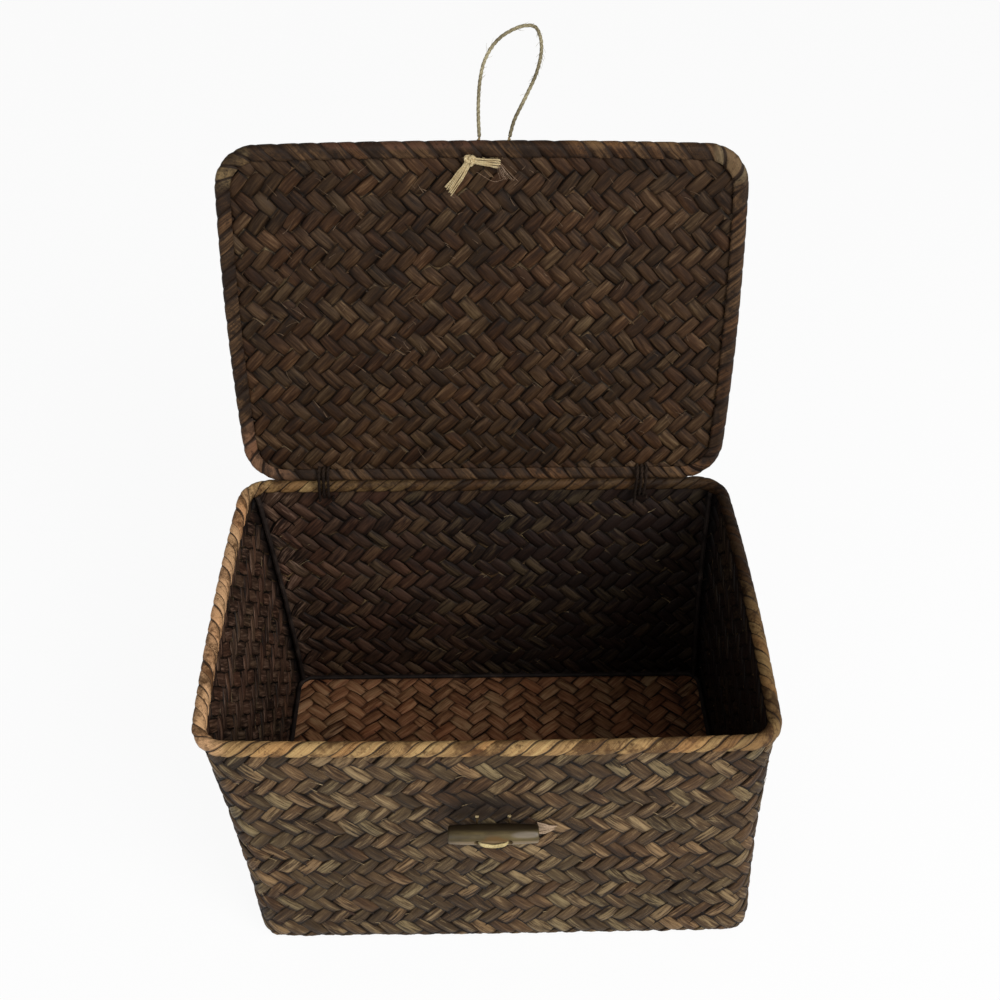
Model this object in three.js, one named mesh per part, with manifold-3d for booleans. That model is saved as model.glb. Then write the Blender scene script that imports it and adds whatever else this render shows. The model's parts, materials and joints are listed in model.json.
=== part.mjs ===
// A small plaited leaf box with a hinged lid, a twine loop and a toggle.
// Millimetres, +Z up. The origin is the middle of the base, and the front faces -Y.
import * as THREE from 'three';
import { mergeVertices } from 'three/addons/utils/BufferGeometryUtils.js';
import Module from 'manifold-3d';

const wasm = await Module();
wasm.setup();

const degrees = Math.PI / 180;

// Body: one plaited shell, open at the top, that leans a little as it rises
const baseWidth = 244;
const baseDepth = 173;
const widthFlare = 10;
const depthFlare = 5;
const bodyHeight = 155;
const wall = 2.4;
const baseCorner = 12;
const rimCorner = 13;
const baseFillet = 7;
const baseBow = 0.5;
const rimBow = 1.5;
const rimLean = -9;
const wallWaist = 1.8;
const wallSteps = 4;

// Clearances between pieces that touch or fit on the real box
const gap = 0.3;
const wallGap = 0.5;

// Inner floor and the wire frame inside the body
const floorThickness = 2;
const frameWireRadius = 1.25;

// Rim binding: leaf wrapped over the wall's top edge and its wire
const rimBindingRadius = 2.7;
const rimLegLength = 2.4;
const rimLegHalf = 2.4;
const rimWireRadius = 1;
const rimWireRise = 0.2;
const rimWallTop = -1.2;
const rimWraps = 72;

// Lid: a flat plaited panel with its own wire and binding
const lidShortfall = 8;
const lidFrontInset = 3;
const lidCorner = 18;
const lidPanelThickness = 2.2;
const lidBindingRadius = 2.6;
const lidLegLength = 2.8;
const lidLegHalf = 2.1;
const lidWireRadius = 1;
const lidWireOut = 0.2;
const lidPanelEdge = -1.1;
const lidWraps = 72;
const lidOpenAngle = 100;

// Leaf wraps of both bindings: how far each stands proud and how it slants
const wrapLap = 0.5;
const wrapSlant = 0.85;
const wrapProfile = [[0, 1], [0.45, 0.6], [0.9, 0]];
const archSteps = 4;

// Twine of the closure, and the darker twine of the two hinge ties
const twine = 1.8;
const tieInset = 45;
const tieTurns = 3;
const tiePitch = 2.3;
const tieRadius = 5.2;
const tieDrop = 1.6;
const tieTailLeft = 5;
const tieTailRight = 9;
const tieCutEnd = 5;
const tieCrossing = 0.15;
const tieSlotClearance = 0.45;

// Toggle: a short turned bar with two bores, hung on twine from two holes in the front
const toggleLength = 40.5;
const toggleRadius = 4.75;
const toggleEndRadius = 4.1;
const toggleShift = -0.8;
const toggleHoleHeight = 102;
const toggleHoleSpacing = 14.4;
const toggleBore = 1.5;
const toggleStandoff = 1.2;
const toggleDrop = 4.8;
const toggleClearance = 1.2;
const boreTilt = 24;
const stitchLift = 0.4;
const stitchSag = 2.1;
const toggleKnotRadius = 1.95;
const toggleTailDrop = 7.5;
const twineHole = 1.4;

// Closure loop: twine through two holes near the lid's front edge
const loopShift = 5;
const loopHoleLeft = -8.5;
const loopHoleRight = 4.6;
const loopHoleInset = 7.8;
const loopRootAngle = 35;
const loopSeatClearance = 0.7;
const loopStrandEnd = 54;
const loopLean = 50;

// Knot of the loop on the lid's underside, with its two cut tails
const knotRadius = 1.87;
const knotTurnRadius = 1.61;
const knotTilt = 70;
const knotStrandDrop = 1.56;
const tailRadius = 1.6;
const tailRoot = 0.75;
const tailFlare = 0.45;
const tailFlatness = 0.8;
const leftTailLength = 15;
const rightTailLength = 12.5;
const leftTailTowards = [-0.64, 0.77];
const rightTailTowards = [0.995, 0.1];

// The loop's route, chosen by hand: across from the loop's middle, and away from the lid
const loopRoute = [
  [-6.4, 0], [-6.7, 14.5], [-5.8, 30], [-3.6, 41], [1.3, 51], [7.4, 57],
  [15.4, 60.8], [20.2, 60.2], [22.5, 55], [22.9, 46.5], [20.4, 34.5], [15.2, 21.5], [9.6, 8.5], [7.4, 0],
];

// Worked out from the sizes above
const rimWidth = baseWidth + widthFlare;
const rimDepth = baseDepth + depthFlare;
const lidWidth = rimWidth - lidShortfall;
const tieSpan = rimWidth - 2 * tieInset;
const rimCrest = rimBindingRadius + wrapLap;
const lidCrest = lidBindingRadius + wrapLap;
const rimHeight = bodyHeight - rimCrest;
const wallTop = rimHeight + rimWallTop;
const rimHalfX = rimWidth / 2 - rimCrest;
const rimHalfY = rimDepth / 2 - rimCrest;
const hingeHeight = bodyHeight + gap + lidCrest;
const lidHalfX = lidWidth / 2 - lidCrest;
const lidHalfY = rimHalfY - lidFrontInset / 2;
const lidFront = 2 * lidHalfY + lidCrest + rimBow;
const floorBottom = wall + gap;
const floorTop = floorBottom + floorThickness;
const frameWireHeight = floorTop + gap + frameWireRadius;

const leafColor = 0x64543f;
const innerLeafColor = 0x553a2a;
const bindingColor = 0xb08a55;
const lidLeafColor = 0x4a382a;
const lidBindingColor = 0x5d4632;
const wireColor = 0x2b211b;
const tieColor = 0x241c18;
const twineColor = 0xb9ab86;
const toggleColor = 0x57492f;

function finish(color, roughness, metalness) {
  return new THREE.MeshStandardMaterial({ color, roughness, metalness });
}

// A piece of the model, named and coloured
function piece(name, geometry, material) {
  const mesh = new THREE.Mesh(geometry, material);
  mesh.name = name;
  return mesh;
}

// Rounded rectangle, anticlockwise from the front left, whose front and sides bow out
function boxOutline(halfX, halfY, corner, bow, centre = new THREE.Vector2()) {
  const outline = new THREE.CurvePath();
  const innerX = halfX - corner;
  const innerY = halfY - corner;
  const at = (x, y) => new THREE.Vector2(centre.x + x, centre.y + y);
  const side = (from, control, to) => outline.add(new THREE.QuadraticBezierCurve(from, control, to));
  const bend = (x, y, start) => outline.add(new THREE.EllipseCurve(
    centre.x + x, centre.y + y, corner, corner, start * degrees, (start + 90) * degrees, false, 0));
  side(at(-innerX, -halfY), at(0, -halfY - 2 * bow), at(innerX, -halfY));
  bend(innerX, -innerY, -90);
  side(at(halfX, -innerY), at(halfX + 2 * bow, 0), at(halfX, innerY));
  bend(innerX, innerY, 0);
  side(at(innerX, halfY), at(0, halfY), at(-innerX, halfY));
  bend(-innerX, innerY, 90);
  side(at(-halfX, innerY), at(-halfX - 2 * bow, 0), at(-halfX, -innerY));
  bend(-innerX, -innerY, 180);
  return outline;
}

// Points round an outline, closer together at its corners
function outlinePoints(outline) {
  const sideSteps = 4;
  const cornerSteps = 5;
  return outline.curves.flatMap((curve) => {
    const steps = curve.isEllipseCurve ? cornerSteps : sideSteps;
    return curve.getPoints(steps).slice(0, steps);
  });
}

// Turns a closed skin right side out
function faceOutward(geometry) {
  const position = geometry.getAttribute('position');
  const index = geometry.getIndex();
  const corner = [0, 1, 2].map(() => new THREE.Vector3());
  let volume = 0;
  for (let i = 0; i < index.count; i += 3) {
    corner.forEach((point, k) => point.fromBufferAttribute(position, index.getX(i + k)));
    volume += corner[0].dot(corner[1].clone().cross(corner[2]));
  }
  if (volume < 0) {
    index.array.reverse();
  }
  geometry.computeVertexNormals();
  return geometry;
}

// Skin over rings with equal point counts, either capped at both ends or joined end to end
function loft(rings, joined) {
  const count = rings[0].length;
  const points = rings.flat();
  const faces = [];
  const spans = joined ? rings.length : rings.length - 1;
  for (let i = 0; i < spans; i += 1) {
    const here = i * count;
    const next = ((i + 1) % rings.length) * count;
    for (let k = 0; k < count; k += 1) {
      const right = (k + 1) % count;
      faces.push(here + k, next + k, next + right);
      faces.push(here + k, next + right, here + right);
    }
  }
  if (!joined) {
    capRing(points, faces, 0, count, false);
    capRing(points, faces, (rings.length - 1) * count, count, true);
  }
  const geometry = new THREE.BufferGeometry().setFromPoints(points);
  geometry.setIndex(faces);
  return faceOutward(geometry);
}

// Fan that closes the end of a loft
function capRing(points, faces, first, count, last) {
  const middle = new THREE.Vector3();
  for (let k = 0; k < count; k += 1) {
    middle.addScaledVector(points[first + k], 1 / count);
  }
  const hub = points.push(middle) - 1;
  for (let k = 0; k < count; k += 1) {
    const here = first + k;
    const next = first + (k + 1) % count;
    faces.push(...(last ? [hub, next, here] : [hub, here, next]));
  }
}

// Round tube along a smooth curve through points
function tube(points, radius, sides, steps) {
  const section = new THREE.Shape();
  const corners = [];
  for (let k = 0; k < sides; k += 1) {
    const turn = 2 * Math.PI * k / sides;
    corners.push(new THREE.Vector2(radius * Math.cos(turn), radius * Math.sin(turn)));
  }
  section.setFromPoints(corners);
  const extrudePath = new THREE.CatmullRomCurve3(points, false, 'centripetal');
  return new THREE.ExtrudeGeometry(section, { steps, extrudePath });
}

// Closed wire that follows an outline at one height
function wireLoop(outline, radius, height) {
  const sides = 8;
  const points = outlinePoints(outline);
  const rings = points.map((point, i) => {
    const before = points[(i + points.length - 1) % points.length];
    const after = points[(i + 1) % points.length];
    const along = after.clone().sub(before).normalize();
    return Array.from({ length: sides }, (_, k) => {
      const turn = 2 * Math.PI * (k + 0.5) / sides;
      const out = radius * Math.cos(turn);
      return new THREE.Vector3(
        point.x + along.y * out, point.y - along.x * out, height + radius * Math.sin(turn));
    });
  });
  return loft(rings, true);
}

function toSolid(geometry) {
  const bare = geometry.clone();
  bare.deleteAttribute('normal');
  bare.deleteAttribute('uv');
  const merged = mergeVertices(bare, 1e-4);
  const vertProperties = new Float32Array(merged.getAttribute('position').array);
  const triVerts = new Uint32Array(merged.getIndex().array);
  return new wasm.Manifold(new wasm.Mesh({ numProp: 3, vertProperties, triVerts }));
}

function fromSolid(solid) {
  const mesh = solid.getMesh();
  const geometry = new THREE.BufferGeometry();
  geometry.setAttribute('position', new THREE.BufferAttribute(new Float32Array(mesh.vertProperties), 3));
  geometry.setIndex(new THREE.BufferAttribute(new Uint32Array(mesh.triVerts), 1));
  geometry.computeVertexNormals();
  return geometry;
}

function cut(geometry, cutters) {
  return fromSolid(cutters.reduce((solid, cutter) => solid.subtract(toSolid(cutter)), toSolid(geometry)));
}

function fuse(geometries) {
  return fromSolid(geometries.slice(1).reduce((solid, part) => solid.add(toSolid(part)), toSolid(geometries[0])));
}

// How far up the leaning, tapering body a height lies, from the base to the rim's middle
function climb(height) {
  return height / rimHeight;
}

function leanAt(height) {
  return rimLean * climb(height);
}

// Half width, half depth, corner radius and bow of the wall's outside at a height. The walls are
// drawn in a little between the base and the rim.
function bodyLevel(height) {
  const share = climb(height);
  const mix = THREE.MathUtils.lerp;
  const drawnIn = wallWaist * Math.sin(Math.PI * share);
  return {
    halfX: mix(baseWidth / 2, rimHalfX + wall / 2, share) - drawnIn,
    halfY: mix(baseDepth / 2, rimHalfY + wall / 2, share) - drawnIn,
    corner: mix(baseCorner, rimCorner + wall / 2, share),
    bow: mix(baseBow, rimBow, share),
  };
}

// The body's outline at a height, set in from the outside of the wall
function bodyOutline(height, inset) {
  const level = bodyLevel(height);
  const centre = new THREE.Vector2(leanAt(height), 0);
  return boxOutline(level.halfX - inset, level.halfY - inset, level.corner - inset, level.bow, centre);
}

function bodyRing(height, inset) {
  return outlinePoints(bodyOutline(height, inset)).map((point) => new THREE.Vector3(point.x, point.y, height));
}

// Rounded foot of the wall as heights and insets from the outside, for one face of the shell
function footProfile(thickness) {
  const footSteps = 3;
  const radius = baseFillet - thickness;
  return Array.from({ length: footSteps + 1 }, (_, k) => {
    const turn = 90 * degrees * k / footSteps;
    return { height: thickness + radius * (1 - Math.cos(turn)), inset: thickness + radius * (1 - Math.sin(turn)) };
  });
}

// How far the inside of the wall lies from its outside at a height
function innerInset(height) {
  const profile = footProfile(wall);
  const upper = profile.findIndex((point) => point.height >= height);
  if (upper < 1) {
    return wall;
  }
  const [low, high] = [profile[upper - 1], profile[upper]];
  return THREE.MathUtils.mapLinear(height, low.height, high.height, low.inset, high.inset);
}

// Where the outside of the front wall lies at a height
function frontFace(height) {
  const level = bodyLevel(height);
  return -(level.halfY + level.bow);
}

// Evenly spaced heights from one height to another
function heightsBetween(bottom, top) {
  return Array.from({ length: wallSteps + 1 }, (_, k) => THREE.MathUtils.lerp(bottom, top, k / wallSteps));
}

// Shell of the body: up the outside, over the top edge and down the inside
function wovenShell() {
  const face = (thickness) => [
    ...footProfile(thickness).map(({ height, inset }) => bodyRing(height, inset)),
    ...heightsBetween(baseFillet, wallTop).slice(1).map((height) => bodyRing(height, thickness)),
  ];
  return loft([...face(0), ...face(wall).reverse()], false);
}

// Slot through the back wall for one hinge tie
function tieWallSlot(x) {
  const width = (tieTurns - 1) * tiePitch + twine + 2 * tieSlotClearance;
  const high = twine + 2 * tieSlotClearance;
  const slot = new THREE.BoxGeometry(width, 4 * wall, high);
  const middle = x + (0.5 - tieCrossing) * tiePitch;
  return slot.translate(middle, rimHalfY, rimHeight - tieDrop - tieRadius);
}

// Round hole along Y through the front wall for one strand of twine
function frontHole(x) {
  const sides = 12;
  const hole = new THREE.CylinderGeometry(twineHole, twineHole, 6 * wall, sides);
  return hole.translate(x, frontFace(toggleHoleHeight), toggleHoleHeight);
}

const tieX = [-tieSpan / 2, tieSpan / 2].map((x) => rimLean + x);
const toggleX = leanAt(toggleHoleHeight) + toggleShift;
const toggleHoleX = [-toggleHoleSpacing / 2, toggleHoleSpacing / 2].map((x) => toggleX + x);

function wovenBody() {
  return cut(wovenShell(), [...tieX.map(tieWallSlot), ...toggleHoleX.map(frontHole)]);
}

// Loose panel that lies in the body and follows its rounded foot
function floorPanel() {
  const lower = bodyRing(floorBottom, innerInset(floorBottom) + wallGap);
  const upper = bodyRing(floorTop, innerInset(floorTop) + wallGap);
  return loft([lower, upper], false);
}

function baseWire() {
  const inset = innerInset(frameWireHeight) + wallGap + frameWireRadius;
  return wireLoop(bodyOutline(frameWireHeight, inset), frameWireRadius, frameWireHeight);
}

// Upright wire in a corner of the body, from the base wire to the foot of the binding
function cornerPost(sideX, sideY) {
  const bottom = frameWireHeight + frameWireRadius + gap;
  const top = rimHeight - rimLegLength - gap;
  const points = heightsBetween(bottom, top).map((height) => {
    const { halfX, halfY, corner } = bodyLevel(height);
    const out = (corner - wall - wallGap - frameWireRadius) * Math.SQRT1_2 - corner;
    return new THREE.Vector3(leanAt(height) + sideX * (halfX + out), sideY * (halfY + out), height);
  });
  return tube(points, frameWireRadius, 8, wallSteps);
}

// Section of a binding: an arch with two legs that grips an edge, and the hollow inside it.
// p runs across the grip and q away from the edge; travel is the way round from the crown.
function bindingSection(radius, legLength, legHalf, hollowHalf, hollowTop) {
  const outer = [];
  const foot = radius * Math.PI / 2 + legLength;
  outer.push({ p: legHalf, q: -legLength, outP: 1, outQ: 0, travel: -foot });
  for (let i = 0; i <= archSteps; i += 1) {
    const turn = Math.PI * i / archSteps;
    const outP = Math.cos(turn);
    const outQ = Math.sin(turn);
    outer.push({ p: radius * outP, q: radius * outQ, outP, outQ, travel: radius * (turn - Math.PI / 2) });
  }
  outer.push({ p: -legHalf, q: -legLength, outP: -1, outQ: 0, travel: foot });
  const hollow = [[-hollowHalf, -legLength, foot], [-hollowHalf, hollowTop, 0],
    [hollowHalf, hollowTop, 0], [hollowHalf, -legLength, -foot]];
  const inner = hollow.map(([p, q, travel]) => ({ p, q, outP: 0, outQ: 0, travel }));
  return [...outer, ...inner];
}

// Leaf wound round an edge in slanted wraps, each lapping over the one before
function wrappedBinding(outline, wraps, section, place) {
  const length = outline.getLength();
  const pitch = length / wraps;
  const rings = [];
  for (let wrap = 0; wrap < wraps; wrap += 1) {
    for (const [share, rise] of wrapProfile) {
      rings.push(section.map(({ p, q, outP, outQ, travel }) => {
        const along = ((wrap + share) * pitch + wrapSlant * travel) / length;
        const t = along - Math.floor(along);
        const lift = rise * wrapLap;
        return place(outline.getPoint(t), outline.getTangent(t), p + outP * lift, q + outQ * lift);
      }));
    }
  }
  return loft(rings, true);
}

function rimOutline() {
  return boxOutline(rimHalfX, rimHalfY, rimCorner, rimBow, new THREE.Vector2(rimLean, 0));
}

function rimBinding() {
  const hollowHalf = Math.max(wall / 2, rimWireRadius) + wallGap;
  const hollowTop = rimWireRise + rimWireRadius + gap;
  const section = bindingSection(rimBindingRadius, rimLegLength, rimLegHalf, hollowHalf, hollowTop);
  return wrappedBinding(rimOutline(), rimWraps, section, (point, along, p, q) => {
    const lean = leanAt(rimHeight + q) - rimLean;
    return new THREE.Vector3(point.x + along.y * p + lean, point.y - along.x * p, rimHeight + q);
  });
}

function rimWire() {
  return wireLoop(rimOutline(), rimWireRadius, rimHeight + rimWireRise);
}

// The route of a hinge tie: up inside the box, over the lid's edge, down the back and
// in through the wall below the binding
function tieRoute(x, tail) {
  const low = rimHeight - tieDrop;
  const run = hingeHeight - low;
  const arc = Math.PI * tieRadius;
  const turnLength = 2 * (run + arc);
  const step = 1.6;
  const at = (s) => {
    const along = ((s % turnLength) + turnLength) % turnLength;
    const across = x + (s / turnLength - tieTurns / 2) * tiePitch;
    if (along <= run) {
      return new THREE.Vector3(across, rimHalfY - tieRadius, low + along);
    }
    if (along <= run + arc) {
      const turn = (along - run) / tieRadius;
      return new THREE.Vector3(
        across, rimHalfY - tieRadius * Math.cos(turn), hingeHeight + tieRadius * Math.sin(turn));
    }
    if (along <= 2 * run + arc) {
      return new THREE.Vector3(across, rimHalfY + tieRadius, hingeHeight - (along - run - arc));
    }
    const turn = (along - 2 * run - arc) / tieRadius;
    return new THREE.Vector3(across, rimHalfY + tieRadius * Math.cos(turn), low - tieRadius * Math.sin(turn));
  };
  const points = [];
  for (let below = tail; below > step; below -= step) {
    points.push(new THREE.Vector3(x - tieTurns / 2 * tiePitch, rimHalfY - tieRadius, low - below));
  }
  const end = tieTurns * turnLength - arc / 2;
  const steps = Math.round(end / step);
  for (let i = 0; i <= steps; i += 1) {
    points.push(at(end * i / steps));
  }
  const last = at(end);
  for (let out = step; out <= tieCutEnd; out += step) {
    points.push(new THREE.Vector3(last.x, last.y - out, last.z));
  }
  return points;
}

// Least distance between the faces of neighbouring turns, measured on the route's points
function leastTurnGap(points, width) {
  const reach = 12;
  let least = Infinity;
  points.forEach((point, i) => {
    for (let k = i + reach; k < points.length; k += 1) {
      least = Math.min(least, point.distanceTo(points[k]) - width);
    }
  });
  return least;
}

function hingeTie(x, tail) {
  const points = tieRoute(x, tail);
  console.log(`hinge tie at x ${x.toFixed(1)}: least gap between turns ${leastTurnGap(points, twine).toFixed(2)} mm`);
  const stepsPerTurn = 24;
  return tube(points, twine / 2, 6, tieTurns * stepsPerTurn + 4);
}

// Lid pieces are made closed, with the hinge line as their origin and the lid reaching
// towards -Y. A point is given across, along from the hinge and out of the lid's top.
function lidPoint(across, along, out) {
  return new THREE.Vector3(across, -along, out);
}

function lidOutline(inset) {
  return boxOutline(
    lidHalfX - inset, lidHalfY - inset, lidCorner - inset, rimBow, new THREE.Vector2(0, -lidHalfY));
}

function lidBinding() {
  const hollowHalf = lidPanelThickness / 2 + gap;
  const hollowTop = lidWireOut + lidWireRadius + gap;
  const section = bindingSection(lidBindingRadius, lidLegLength, lidLegHalf, hollowHalf, hollowTop);
  return wrappedBinding(lidOutline(0), lidWraps, section, (point, along, p, q) => (
    new THREE.Vector3(point.x + along.y * q, point.y - along.x * q, p)));
}

function lidWire() {
  return wireLoop(lidOutline(-lidWireOut), lidWireRadius, 0);
}

// Slot in the lid panel for a hinge tie, which stays on the same circle as the lid turns
function tieLidSlot(x) {
  const width = (tieTurns - 0.8) * tiePitch + twine + 2 * tieSlotClearance;
  const long = twine + 2 * tieSlotClearance;
  const slot = new THREE.BoxGeometry(width, long, 4 * lidPanelThickness);
  return slot.translate(x - rimLean - 0.25 * tiePitch, -tieRadius, 0);
}

const loopHoles = [loopHoleLeft, loopHoleRight].map((x) => loopShift + x);

function loopHole(x) {
  const hole = new THREE.CylinderGeometry(twineHole, twineHole, 4 * lidPanelThickness, 12);
  return hole.rotateX(90 * degrees).translate(x, -(lidFront - loopHoleInset), 0);
}

function lidPanel() {
  const edge = -lidPanelEdge;
  const ring = (out) => outlinePoints(lidOutline(edge)).map((point) => new THREE.Vector3(point.x, point.y, out));
  const plate = loft([ring(-lidPanelThickness / 2), ring(lidPanelThickness / 2)], false);
  return cut(plate, [...tieX.map(tieLidSlot), ...loopHoles.map(loopHole)]);
}

// The loop swings about this line, just off the outer corner of the lid's front binding
const loopSeat = lidCrest + loopSeatClearance + twine / 2;
const loopPivot = {
  along: lidFront - lidCrest + loopSeat * Math.cos(loopRootAngle * degrees),
  out: loopSeat * Math.sin(loopRootAngle * degrees),
};

// A strand of the loop that stays on the lid: up through its hole and over the binding
function lidStrand(holeX, rootX) {
  const hole = lidFront - loopHoleInset;
  const middle = lidFront - lidCrest;
  const above = lidPanelThickness / 2 + twine / 3;
  const firstTurn = 145;
  const turns = 4;
  const points = [-lidPanelThickness / 2 - knotStrandDrop, 0, above].map((out) => lidPoint(holeX, hole, out));
  for (let i = 0; i <= turns; i += 1) {
    const turn = THREE.MathUtils.lerp(firstTurn, loopStrandEnd, i / turns) * degrees;
    const x = THREE.MathUtils.lerp(holeX, rootX, i / turns);
    points.push(lidPoint(x, middle + loopSeat * Math.cos(turn), loopSeat * Math.sin(turn)));
  }
  return tube(points, twine / 2, 8, 16);
}

// Cut tail of the knot, untwisted and spread towards its end
function knotTail(from, [towardsX, towardsY], length) {
  const sides = 8;
  const towards = new THREE.Vector3(towardsX, towardsY, 0).normalize();
  const across = new THREE.Vector3(towards.y, -towards.x, 0);
  const rings = [0, 0.3, 0.7, 1].map((share) => {
    const radius = tailRadius * (tailRoot + tailFlare * share);
    const middle = from.clone().addScaledVector(towards, length * share);
    return Array.from({ length: sides }, (_, k) => {
      const turn = 2 * Math.PI * k / sides;
      return middle.clone()
        .addScaledVector(across, radius * Math.cos(turn))
        .add(new THREE.Vector3(0, 0, tailFlatness * radius * Math.sin(turn)));
    });
  });
  return loft(rings, false);
}

// Knot on the lid's underside: one tight turn over crossing strands, with two cut tails
function loopKnot() {
  const turnReach = knotTurnRadius * Math.sin(knotTilt * degrees) + twine / 2;
  const level = -lidPanelThickness / 2 - gap - turnReach;
  const hole = lidFront - loopHoleInset;
  const middle = lidPoint(loopHoles[0] - 0.5, hole - 1, level);
  const turn = new THREE.TorusGeometry(knotTurnRadius, twine / 2, 6, 12);
  turn.rotateY(knotTilt * degrees).translate(middle.x, middle.y, middle.z);
  const ball = new THREE.SphereGeometry(knotRadius, 10, 7).translate(middle.x, middle.y, middle.z);
  const bridge = tube([
    lidPoint(loopHoles[1], hole, level + twine / 2),
    lidPoint(loopHoles[1] - 2 * twine, hole, level + twine / 3),
    middle,
  ], twine / 2, 8, 6);
  const tails = [
    knotTail(middle, leftTailTowards, leftTailLength),
    knotTail(middle, rightTailTowards, rightTailLength),
  ];
  const roots = [loopRoute[0][0], loopRoute[loopRoute.length - 1][0]].map((x) => loopShift + x);
  const strands = loopHoles.map((x, i) => lidStrand(x, roots[i]));
  return fuse([ball, turn, bridge, ...tails, ...strands]);
}

// The free loop, made in the plane that it lies in
function closureLoop() {
  const points = loopRoute.map(([across, away]) => new THREE.Vector3(across, -away, 0));
  return tube(points, twine / 2, 8, 60);
}

// Turned bar with rounded ends, lying along X, with two bores along Y
function toggleBar() {
  const half = toggleLength / 2;
  const profile = [
    [0, -half], [toggleEndRadius * 0.78, -half], [toggleEndRadius * 0.96, -half + 0.7],
    [toggleEndRadius, -half + 2], [toggleRadius * 0.96, -half * 0.62], [toggleRadius, -half * 0.25],
    [toggleRadius, half * 0.25], [toggleRadius * 0.97, half * 0.62], [toggleEndRadius, half - 2],
    [toggleEndRadius * 0.94, half - 0.7], [toggleEndRadius * 0.72, half], [0, half],
  ].map(([radius, along]) => new THREE.Vector2(radius, along));
  const bar = new THREE.LatheGeometry(profile, 16).rotateZ(-90 * degrees);
  const bores = [-toggleHoleSpacing / 2, toggleHoleSpacing / 2].map((x) => (
    new THREE.CylinderGeometry(toggleBore, toggleBore, 4 * toggleRadius, 12).translate(x, 0, 0)));
  return cut(bar, bores);
}

// The toggle hangs from this line, a little in front of the two holes in the wall
const togglePivot = new THREE.Vector3(toggleX, frontFace(toggleHoleHeight) - toggleStandoff, toggleHoleHeight);
const barOut = toggleRadius + toggleClearance - toggleStandoff;

// Twine of the toggle, round the middle of the bar as its origin: down from the pivot, through one
// bore to the front, across to the other bore in a sagging stitch, and back up to the pivot
function toggleTwine() {
  const holeX = toggleHoleSpacing / 2;
  const front = toggleRadius + twine / 2 + stitchLift;
  const mouth = toggleRadius - twine / 3;
  const at = (across, out, sag) => {
    const turn = boreTilt * degrees + sag / front;
    return new THREE.Vector3(across, -out * Math.cos(turn), -out * Math.sin(turn));
  };
  const half = [
    new THREE.Vector3(-holeX, barOut, toggleDrop),
    at(-holeX, -toggleRadius, 0),
    at(-holeX, 0, 0),
    at(-holeX, mouth, 0),
    at(-holeX + 0.6 * twine, front, 0.2 * stitchSag),
    at(-holeX / 2, front, 0.8 * stitchSag),
  ];
  const back = half.slice().reverse().map((point) => new THREE.Vector3(-point.x, point.y, point.z));
  return tube([...half, at(0, front, stitchSag), ...back], twine / 2, 8, 40);
}

// Knot inside the front wall that the toggle's twine is tied off with
function toggleKnot() {
  const face = frontFace(toggleHoleHeight);
  const inside = face + wall + wallGap + twine / 2;
  const start = face - toggleStandoff + twine / 2 + gap;
  const half = toggleHoleSpacing / 2;
  const at = (across, y, drop) => new THREE.Vector3(toggleX + across, y, toggleHoleHeight - drop);
  const side = (sign) => [
    at(sign * half, start, 0),
    at(sign * half, face + wall / 2, 0),
    at(sign * (half - 0.2 * twine), inside - twine / 6, 0),
    at(sign * (half - 1.2 * twine), inside + twine / 6, 0),
  ];
  const strand = tube([...side(-1), at(0, inside + twine / 6, 0), ...side(1).reverse()], twine / 2, 8, 34);
  const knot = new THREE.SphereGeometry(toggleKnotRadius, 10, 7).scale(1.25, 0.9, 1);
  knot.translate(toggleX, inside + twine / 2, toggleHoleHeight);
  const tails = [-1, 1].map((sign) => tube([
    at(sign * 0.3 * twine, inside + twine / 2, 0),
    at(sign * 0.4 * toggleTailDrop, inside + 0.75 * twine, 0.4 * toggleTailDrop),
    at(sign * 0.6 * toggleTailDrop, inside + twine / 2, toggleTailDrop),
  ], twine / 2, 8, 5));
  return fuse([strand, knot, ...tails]);
}

const leafFinish = finish(leafColor, 0.75, 0);
const innerLeafFinish = finish(innerLeafColor, 0.75, 0);
const bindingFinish = finish(bindingColor, 0.7, 0);
const lidLeafFinish = finish(lidLeafColor, 0.75, 0);
const lidBindingFinish = finish(lidBindingColor, 0.7, 0);
const wireFinish = finish(wireColor, 0.5, 0.6);
const tieFinish = finish(tieColor, 0.9, 0);
const twineFinish = finish(twineColor, 0.9, 0);
const toggleFinish = finish(toggleColor, 0.35, 0);

const body = new THREE.Group();
body.add(piece('woven_body', wovenBody(), leafFinish));
body.add(piece('floor_panel', floorPanel(), innerLeafFinish));
body.add(piece('base_wire', baseWire(), wireFinish));
for (const [name, sideX, sideY] of [
  ['corner_post_front_left', -1, -1], ['corner_post_front_right', 1, -1],
  ['corner_post_back_left', -1, 1], ['corner_post_back_right', 1, 1],
]) {
  body.add(piece(name, cornerPost(sideX, sideY), wireFinish));
}
body.add(piece('rim_wire', rimWire(), wireFinish));
body.add(piece('rim_binding', rimBinding(), bindingFinish));
body.add(piece('hinge_tie_left', hingeTie(tieX[0], tieTailLeft), tieFinish));
body.add(piece('hinge_tie_right', hingeTie(tieX[1], tieTailRight), tieFinish));
body.add(piece('toggle_knot', toggleKnot(), twineFinish));

const toggle = new THREE.Group();
toggle.position.copy(togglePivot);
const bar = piece('toggle_bar', toggleBar(), toggleFinish);
bar.position.set(0, -barOut, -toggleDrop);
bar.rotation.x = boreTilt * degrees;
const barTwine = piece('toggle_twine', toggleTwine(), twineFinish);
barTwine.position.copy(bar.position);
toggle.add(bar, barTwine);

const lid = new THREE.Group();
lid.position.set(rimLean, rimHalfY, hingeHeight);
lid.rotation.x = -lidOpenAngle * degrees;
lid.add(piece('lid_panel', lidPanel(), lidLeafFinish));
lid.add(piece('lid_wire', lidWire(), wireFinish));
lid.add(piece('lid_binding', lidBinding(), lidBindingFinish));
lid.add(piece('loop_knot', loopKnot(), twineFinish));

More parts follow.
